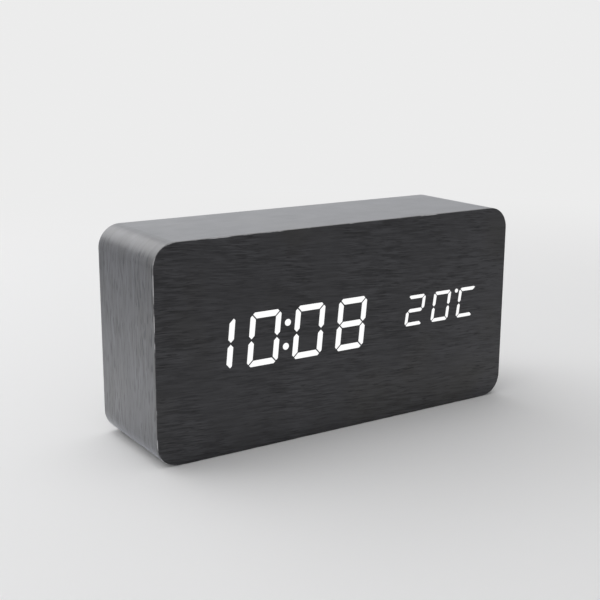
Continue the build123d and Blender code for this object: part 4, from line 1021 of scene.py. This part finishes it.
@dataclass
class Controls(SubAssembly):
    """The control board with its buttons, sound switch, socket, microphone, buzzer and thermistor.

    The dish of a button holds shares of the cap's radius and of the dish's depth.
    """

    wears = {
        BOARD: ("control_board",),
        SCREW_STEEL: ("control_screws",),
        SWITCH: ("key_switches", "set_plunger", "up_plunger", "down_plunger", "power_socket_core", "buzzer"),
        BUTTON: ("set_button", "up_button", "down_button", "sound_switch_knob"),
        CAN_METAL: ("sound_switch_housing", "power_socket_shell", "microphone"),
        BEAD: ("thermistor",),
    }
    cap_radius: float = 3.0 * MM
    cap_rounding: float = 0.35 * MM
    cap_segments: int = 4
    cap_steps: int = 56
    dish_depth: float = 0.4 * MM
    dish: Profile = ((0.0, 1.0), (0.35, 0.9), (0.6, 0.6), (0.78, 0.2), (0.86, 0.0))
    flange_height: float = 1.0 * MM
    stem_width: float = 2.2 * MM
    stem_height: float = 1.8 * MM
    foot_height: float = 2.0 * MM
    ridge_width: float = 0.42 * MM
    ridge_pitch: float = 0.76 * MM
    ridge_height: float = 0.45 * MM
    ridges: int = 3
    knob_rounding: float = 0.09 * MM
    knob_segments: int = 2

    def build(self) -> None:
        """Models the dished button caps and the ridged knob."""
        for body in BUTTON_BODIES:
            self._cap(body)
        self._knob()

    def _cap(self, body: Body) -> None:
        """Models one dished button cap with its flange.

        Args:
            body: The button's body, whose name its CAD node shares.
        """
        low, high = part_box(body.value)
        foot = Vector(((low.x + high.x) / 2, low.y, (low.z + high.z) / 2))
        crown = Vector((foot.x, high.y, foot.z))
        top = high.y - low.y
        radius, flange, flange_top = self.cap_radius, (high.x - low.x) / 2, self.flange_height
        dish = [(share * radius, top - depth * self.dish_depth) for share, depth in self.dish]
        wall = [(radius, top), (radius, flange_top), (flange, flange_top), (flange, 0.0), (0.0, 0.0)]
        cap = Workpiece(body.value + "_cap")
        cap.turned(dish + wall, foot, BACKWARD, self.cap_steps)
        rim = cap.edges_at(lambda spot: abs((spot - crown).length - radius) < TINY)
        cap.bevel(rim, self.cap_rounding, self.cap_segments)
        cap.finish([self.wardrobe.material(BUTTON)], body, Slot.BUTTON, body.value)

    def _knob(self) -> None:
        """Models the sound switch's knob in one shell, with ridges for a finger nail."""
        low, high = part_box("sound_switch_knob")
        middle, size = (low + high) / 2, high - low
        foot_top = low.y + self.foot_height
        stem_top = high.y - self.ridge_height
        knob = Workpiece("sound_switch_ridged_knob")
        foot_middle = Vector((middle.x, low.y + self.foot_height / 2, middle.z))
        knob.block((size.x, self.foot_height, size.z), foot_middle)
        top = knob.faces_at(lambda spot: spot.y > foot_top - TINY)
        margin = (size.z - self.stem_height) / 2
        bmesh.ops.inset_region(knob.shell, faces=top, thickness=margin, use_even_offset=True)
        narrow = Vector((self.stem_width / (size.x - 2 * margin), 1.0, 1.0))
        bmesh.ops.scale(knob.shell, vec=narrow, verts=top[0].verts, space=Matrix.Translation(-middle))
        stem_foot = Vector((middle.x, foot_top, middle.z))
        knob.pull(lambda spot: (spot - stem_foot).length < TINY, BACKWARD * (stem_top - foot_top))
        rows = [middle.x + (index - (self.ridges - 1) / 2) * self.ridge_pitch for index in range(self.ridges)]
        half = self.ridge_width / 2
        for x in rows:
            for edge in (x - half, x + half):
                knob.slice(Vector((edge, stem_top, middle.z)), SIDEWAYS, self.stem_width)
        knob.pull(
            lambda spot: spot.y > stem_top - TINY and any(abs(spot.x - x) < half for x in rows),
            BACKWARD * self.ridge_height,
        )
        knob.soften(self.knob_rounding, self.knob_segments)
        knob.finish([self.wardrobe.material(BUTTON)], Body.SOUND_SWITCH, Slot.BUTTON, "sound_switch_knob")


@dataclass
class BackCover(SubAssembly):
    """The moulded back cover with its raised marks and its screws.

    A ring holds the X and Z of its middle and its two radii, and a bar its X and Z, width and height. The
    bars are the sign for on and the sign for direct current. The dome of a screw holds shares of the head's
    radius and depths from its top.
    """

    wears = {COVER: ("back_cover",), SCREW_STEEL: ("cover_screws",)}
    mark_height: float = 0.25 * MM
    mark_sink: float = 0.1 * MM
    mark_rounding: float = 0.06 * MM
    button_row: float = 55.6 * MM
    set_ring: Range = mm(0.75, 1.25)
    off_ring: tuple[float, ...] = mm(-48.4, 38.9, 0.58, 0.95)
    ring_steps: int = 32
    arrow_sides: int = 3
    arrow_radius: float = 1.45 * MM
    bars: tuple[tuple[float, ...], ...] = (
        mm(-52.6, 38.9, 0.42, 1.9),
        mm(-30.0, 40.85, 3.4, 0.42),
        *(mm(x, 39.95, 0.8, 0.42) for x in (-31.2, -30.0, -28.8)),
    )
    screw_columns: Range = mm(-65.0, 65.0)
    screw_rows: Range = mm(10.0, 65.0)
    screw_steps: int = 40
    first_turn: float = 20.0
    next_turn: float = 37.0
    head_radius: float = 2.5 * MM
    head_height: float = 1.4 * MM
    dome: Profile = (
        (0.0, 0.0), (0.4, 0.04 * MM), (0.7, 0.15 * MM), (0.88, 0.3 * MM), (0.97, 0.5 * MM), (1.0, 0.75 * MM),
    )
    shank_radius: float = 1.25 * MM
    point_share: float = 0.12
    cross_length: float = 2.9 * MM
    cross_width: float = 0.62 * MM
    cross_depth: float = 0.95 * MM
    cross_reach: float = 0.5 * MM
    cross_taper: Triple = (0.5, 1.0, 0.5)

    def build(self) -> None:
        """Models the raised marks and the domed screws."""
        self._marks()
        self._screws()

    def _marks(self) -> None:
        """Models ring and arrows by the buttons, bar and ring by the switch, current by the socket."""
        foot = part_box("back_cover")[1].y - self.mark_sink
        rise = self.mark_height + self.mark_sink
        set_x, up_x, down_x = (sum(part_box(body.value), Vector()).x / 2 for body in BUTTON_BODIES)
        marks = Workpiece("cover_marks")
        for x, z, inner, outer in ((set_x, self.button_row, *self.set_ring), self.off_ring):
            profile = ((inner, 0.0), (inner, rise), (outer, rise), (outer, 0.0), (inner, 0.0))
            marks.turned(profile, Vector((x, foot, z)), BACKWARD, self.ring_steps)
        for x, turn in ((up_x, 180.0), (down_x, 0.0)):
            foot_middle = Vector((x, foot, self.button_row))
            marks.plate(self.arrow_sides, self.arrow_radius, foot_middle, rise, turn)
        for x, z, width, height in self.bars:
            marks.block((width, rise, height), Vector((x, foot + rise / 2, z)), self.mark_rounding)
        marks.finish([self.wardrobe.material(MARK)], Body.CLOCK, Slot.COVER)

    def _screws(self) -> None:
        """Models the four domed screws with their cross recesses."""
        low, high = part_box("cover_screws")
        length = high.y - low.y
        under_head = length - self.head_height
        dome = [(share * self.head_radius, length - depth) for share, depth in self.dome]
        head = [(self.head_radius, under_head), (self.shank_radius, under_head)]
        point = [(self.shank_radius, self.point_share * length), (0.0, 0.0)]
        screws = Workpiece("cover_cross_screws")
        places = [(x, z) for x in self.screw_columns for z in self.screw_rows]
        for index, (x, z) in enumerate(places):
            screws.turned(dome + head + point, Vector((x, low.y, z)), BACKWARD, self.screw_steps)
            self._cross(screws, Vector((x, high.y, z)), self.first_turn + self.next_turn * index)
        screws.finish([self.wardrobe.material(SCREW_STEEL)], Body.CLOCK, Slot.SCREW, "cover_screws")

    def _cross(self, screws: Workpiece, top: Vector, turn: float) -> None:
        """Sinks the tapered cross into one screw head.

        Args:
            screws: The piece that the head belongs to.
            top: The middle of the head's top.
            turn: Degrees that the screw is turned by.
        """
        along = Matrix.Rotation(math.radians(turn), 3, "Y") @ SIDEWAYS
        across = along.cross(BACKWARD)
        half_length, half_width = self.cross_length / 2, self.cross_width / 2
        for normal in (along, across):
            for reach in (-half_length, -half_width, half_width, half_length):
                screws.slice(top + normal * reach, normal, self.head_radius + half_length)

        def in_cross(spot: Vector) -> bool:
            """Tells whether a face lies in the cross.

            Args:
                spot: The face's middle.

            Returns:
                True in the cross.
            """
            away = spot - top
            short, long = sorted((abs(away.dot(along)), abs(away.dot(across))))
            return abs(away.y) < self.cross_reach and short < half_width and long < half_length

        floor = screws.pull(in_cross, -BACKWARD * self.cross_depth)
        bmesh.ops.scale(screws.shell, vec=self.cross_taper, verts=floor, space=Matrix.Translation(-top))


@dataclass
class BatteryBay(SubAssembly):
    """The battery door, the cells, their contacts and leads.

    The forms of a cell hold shares of the cell's or the nub's radius, and depths from an end.
    """

    cells: ClassVar[tuple[str, ...]] = tuple("battery_cell_%d" % number for number in (1, 2, 3, 4))
    wears = {COVER: ("battery_door",), NICKEL: ("battery_contacts",), LEADS: ("battery_leads",), CELL: cells}
    cell_steps: int = 48
    base_plate: Profile = ((0.0, 0.0), (0.62, 0.0), (0.66, 0.25 * MM), (0.80, 0.25 * MM))
    rolled_end: Profile = ((0.84, 0.05 * MM), (0.92, 0.0), (0.97, 0.15 * MM), (1.0, 0.5 * MM))
    seal: Profile = ((0.80, 0.3 * MM),)
    nub_length: float = 1.0 * MM
    nub_radius: float = 1.9 * MM
    nub_foot: Profile = ((1.35, 0.3 * MM), (1.06, 0.1 * MM), (1.0, -0.1 * MM))
    nub_top: Profile = ((1.0, 0.25 * MM), (0.9, 0.06 * MM), (0.75, 0.0), (0.0, 0.0))
    bare_share: float = 0.815

    def build(self) -> None:
        """Models the cells, every second one turned."""
        for index, node in enumerate(self.cells):
            self._cell(node, 1.0 if index % 2 else -1.0)

    def _cell(self, node: str, towards: float) -> None:
        """Models one cell with rolled sleeve ends, end plate and nub.

        Args:
            node: The CAD node that it stands for.
            towards: The side, along X, that its nub points to.
        """
        low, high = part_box(node)
        radius = (high.z - low.z) / 2
        length = high.x - low.x
        shoulder = length - self.nub_length
        foot = Vector((high.x if towards < 0 else low.x, (low.y + high.y) / 2, (low.z + high.z) / 2))
        axis = SIDEWAYS * towards
        profile = [(share * radius, depth) for share, depth in self.base_plate + self.rolled_end]
        for form, size, end in (
            (self.rolled_end[::-1] + self.seal, radius, shoulder),
            (self.nub_foot, self.nub_radius, shoulder),
            (self.nub_top, self.nub_radius, length),
        ):
            profile += [(share * size, end - depth) for share, depth in form]
        cell = Workpiece(node + "_sleeved")
        cell.turned(profile, foot, axis, self.cell_steps)
        bare = self.bare_share * radius
        cell.paint(1, lambda spot: (spot - foot - axis * (spot - foot).dot(axis)).length < bare)
        materials = [self.wardrobe.material(CELL), self.wardrobe.material(NICKEL)]
        cell.finish(materials, Body.CLOCK, Slot.CELL, node)


@dataclass(frozen=True)
class Viewpoint:
    """The camera of the photograph, in metres and degrees."""

    place: Triple = (-0.2188, -0.3256, 0.1383)
    azimuth: float = 33.19
    elevation: float = 13.62
    roll: float = 0.27
    lens: float = 65.38
    sensor: float = 36.0
    nearest: float = 0.01

    def build(self) -> None:
        """Adds the camera and makes it the scene's own."""
        data = bpy.data.cameras.new("camera")
        data.lens = self.lens
        data.sensor_width = self.sensor
        data.clip_start = self.nearest
        camera = bpy.data.objects.new("camera", data)
        bpy.context.scene.collection.objects.link(camera)
        pose = Matrix.Translation(self.place)
        for angle, axis in ((-self.azimuth, "Z"), (90.0 - self.elevation, "X"), (self.roll, "Z")):
            pose = pose @ Matrix.Rotation(math.radians(angle), 4, axis)
        camera.matrix_world = pose
        bpy.context.scene.camera = camera


@dataclass(frozen=True)
class Softbox:
    """One rectangular studio lamp that points at the clock."""

    name: str
    place: Triple
    size: Range
    power: float

    def build(self, target: Vector) -> None:
        """Adds the lamp.

        Args:
            target: The point that it faces.
        """
        data = bpy.data.lights.new(self.name, "AREA")
        data.shape = "RECTANGLE"
        data.size, data.size_y = self.size
        data.energy = self.power
        lamp = bpy.data.objects.new(self.name, data)
        lamp.location = self.place
        lamp.rotation_euler = (target - Vector(self.place)).to_track_quat("-Z", "Y").to_euler()
        lamp.visible_camera = False
        bpy.context.scene.collection.objects.link(lamp)


@dataclass(frozen=True)
class Studio:
    """Pale floor, soft light from a bright room behind and to the left, and the camera."""

    floor_size: float = 12.0
    floor_drop: float = 0.05 * MM
    floor_colour: Colour = (0.88, 0.88, 0.885)
    floor_shade: float = 0.985
    floor_cells: float = 3.0
    floor_roughness: float = 0.7
    floor_specular: float = 0.2
    fading_floor: Range = (0.18, 0.60)
    mirrored_floor: Range = (0.02, 0.34)
    bounce: float = 1.05
    room_light: float = 0.66
    backdrop: float = 0.84
    dark_horizon: float = 0.38
    horizon: Range = (0.02, 0.30)
    left_part: Range = (0.15, -0.2)
    bright_from: Triple = (-0.75, 0.65, 0.48)
    bright_part: Range = (-0.6, 0.6)
    dim_side: float = 0.45
    softboxes: tuple[Softbox, ...] = (
        Softbox("overhead_softbox", (-0.1, 0.1, 1.4), (1.4, 1.2), 4.6),
        Softbox("back_softbox", (-0.6, 1.1, 0.78), (1.85, 0.85), 7.6),
        Softbox("left_softbox", (-0.9, 0.6, 0.12), (0.6, 0.2), 1.6),
    )

    def build(self) -> None:
        """Adds the floor, the room's light, the lamps and the camera."""
        self._floor()
        self._room()
        middle = (CAD_BOX[0] + CAD_BOX[1]) / 2
        for softbox in self.softboxes:
            softbox.build(middle)
        Viewpoint().build()
        bpy.context.scene.view_settings.view_transform = "Standard"

    def _floor(self) -> None:
        """Adds the floor just under the clock."""
        shell = bmesh.new()
        bmesh.ops.create_grid(shell, x_segments=1, y_segments=1, size=self.floor_size / 2)
        bmesh.ops.translate(shell, vec=(0.0, 0.0, -self.floor_drop), verts=shell.verts)
        mesh = bpy.data.meshes.new("floor")
        shell.to_mesh(mesh)
        shell.free()
        floor = bpy.data.objects.new("floor", mesh)
        bpy.context.scene.collection.objects.link(floor)
        shader = Shader("floor_paper")
        cloud = shader.noise(shader.object, self.floor_cells)
        darker = shaded(self.floor_colour, self.floor_shade)
        shader.set(Base_Color=shader.mix(cloud, darker, self.floor_colour))
        shader.set(Roughness=self.floor_roughness, Specular_IOR_Level=self.floor_specular)
        self._fade(shader)
        mesh.materials.append(shader.material)

    @staticmethod
    def _shiny(graph: Graph, rays: Sockets) -> Socket:
        """Returns a mask of the rays that metal and glass show."""
        return graph.math("MAXIMUM", rays["Is Glossy Ray"], rays["Is Transmission Ray"])

    def _fade(self, shader: Shader) -> None:
        """Lets the far floor take the backdrop's tone, without a horizon, and paints a floor glow that only
        reflections see.

        Args:
            shader: The floor's material.
        """
        rays = shader.add("ShaderNodeLightPath").outputs
        shiny = self._shiny(shader, rays)
        footprint = tuple((CAD_BOX[1] - CAD_BOX[0]) / 2)
        over = shader.vector("SUBTRACT", shader.vector("ABSOLUTE", shader.object), footprint)
        beside = shader.math("MAXIMUM", shader.axis(over, "X"), shader.axis(over, "Y"))
        # Painted reflection: beside the clock the floor glows at the bounce level for glossy rays, without
        # its shading, fading to the dark horizon level further out
        mirrored = shader.ramp(beside, *self.mirrored_floor, self.bounce, self.dark_horizon)
        even = shader.times(shiny, shader.ramp(beside, 0.0, self.mirrored_floor[0]))
        away = shader.measure("LENGTH", shader.object)
        far = shader.times(rays["Is Camera Ray"], shader.ramp(away, *self.fading_floor))
        level = shader.blend(shiny, self.backdrop, mirrored)
        glow = shader.fill(shader.add("ShaderNodeEmission"), Strength=level)["Emission"]
        layers = (shader.math("MAXIMUM", far, even), shader.bsdf.outputs["BSDF"], glow)
        blend = shader.fill(shader.add("ShaderNodeMixShader"), *layers)
        shader.fill(shader.output, Surface=blend["Shader"])

    def _room(self) -> None:
        """Adds the room's light: bright behind, above and to the left, dimmer on the camera's side."""
        world = bpy.data.worlds.new("room")
        bpy.context.scene.world = world
        world.use_nodes = True
        world.node_tree.nodes.clear()
        graph = Graph(world.node_tree)
        rays = graph.add("ShaderNodeLightPath").outputs
        towards = graph.add("ShaderNodeTexCoord").outputs["Generated"]
        facing = graph.measure("DOT_PRODUCT", towards, tuple(Vector(self.bright_from).normalized()))
        gleam = graph.ramp(facing, *self.bright_part, self.dim_side, 1.0)
        upward = graph.ramp(graph.axis(towards, "Z"), *self.horizon, self.dark_horizon, 1.0)
        leftward = graph.ramp(graph.axis(towards, "X"), *self.left_part)
        gleam = graph.times(gleam, graph.blend(leftward, 1.0, upward))
        seen = graph.blend(self._shiny(graph, rays), graph.times(gleam, self.room_light), gleam)
        level = graph.blend(rays["Is Camera Ray"], seen, self.backdrop)
        background = graph.add("ShaderNodeBackground")
        light = graph.fill(background, Color=(1.0, 1.0, 1.0), Strength=level)["Background"]
        graph.fill(graph.add("ShaderNodeOutputWorld"), Surface=light)


def main() -> None:
    """Dresses the clock, piece by piece, and sets up the studio."""
    logging.basicConfig(level=logging.INFO, format="%(name)s: %(message)s")
    wardrobe = Wardrobe()
    for part in (Case, Display, Controls, BackCover, BatteryBay):
        group = part(wardrobe)
        group.dress()
        group.build()
    Studio().build()


if __name__ == "__main__":
    main()
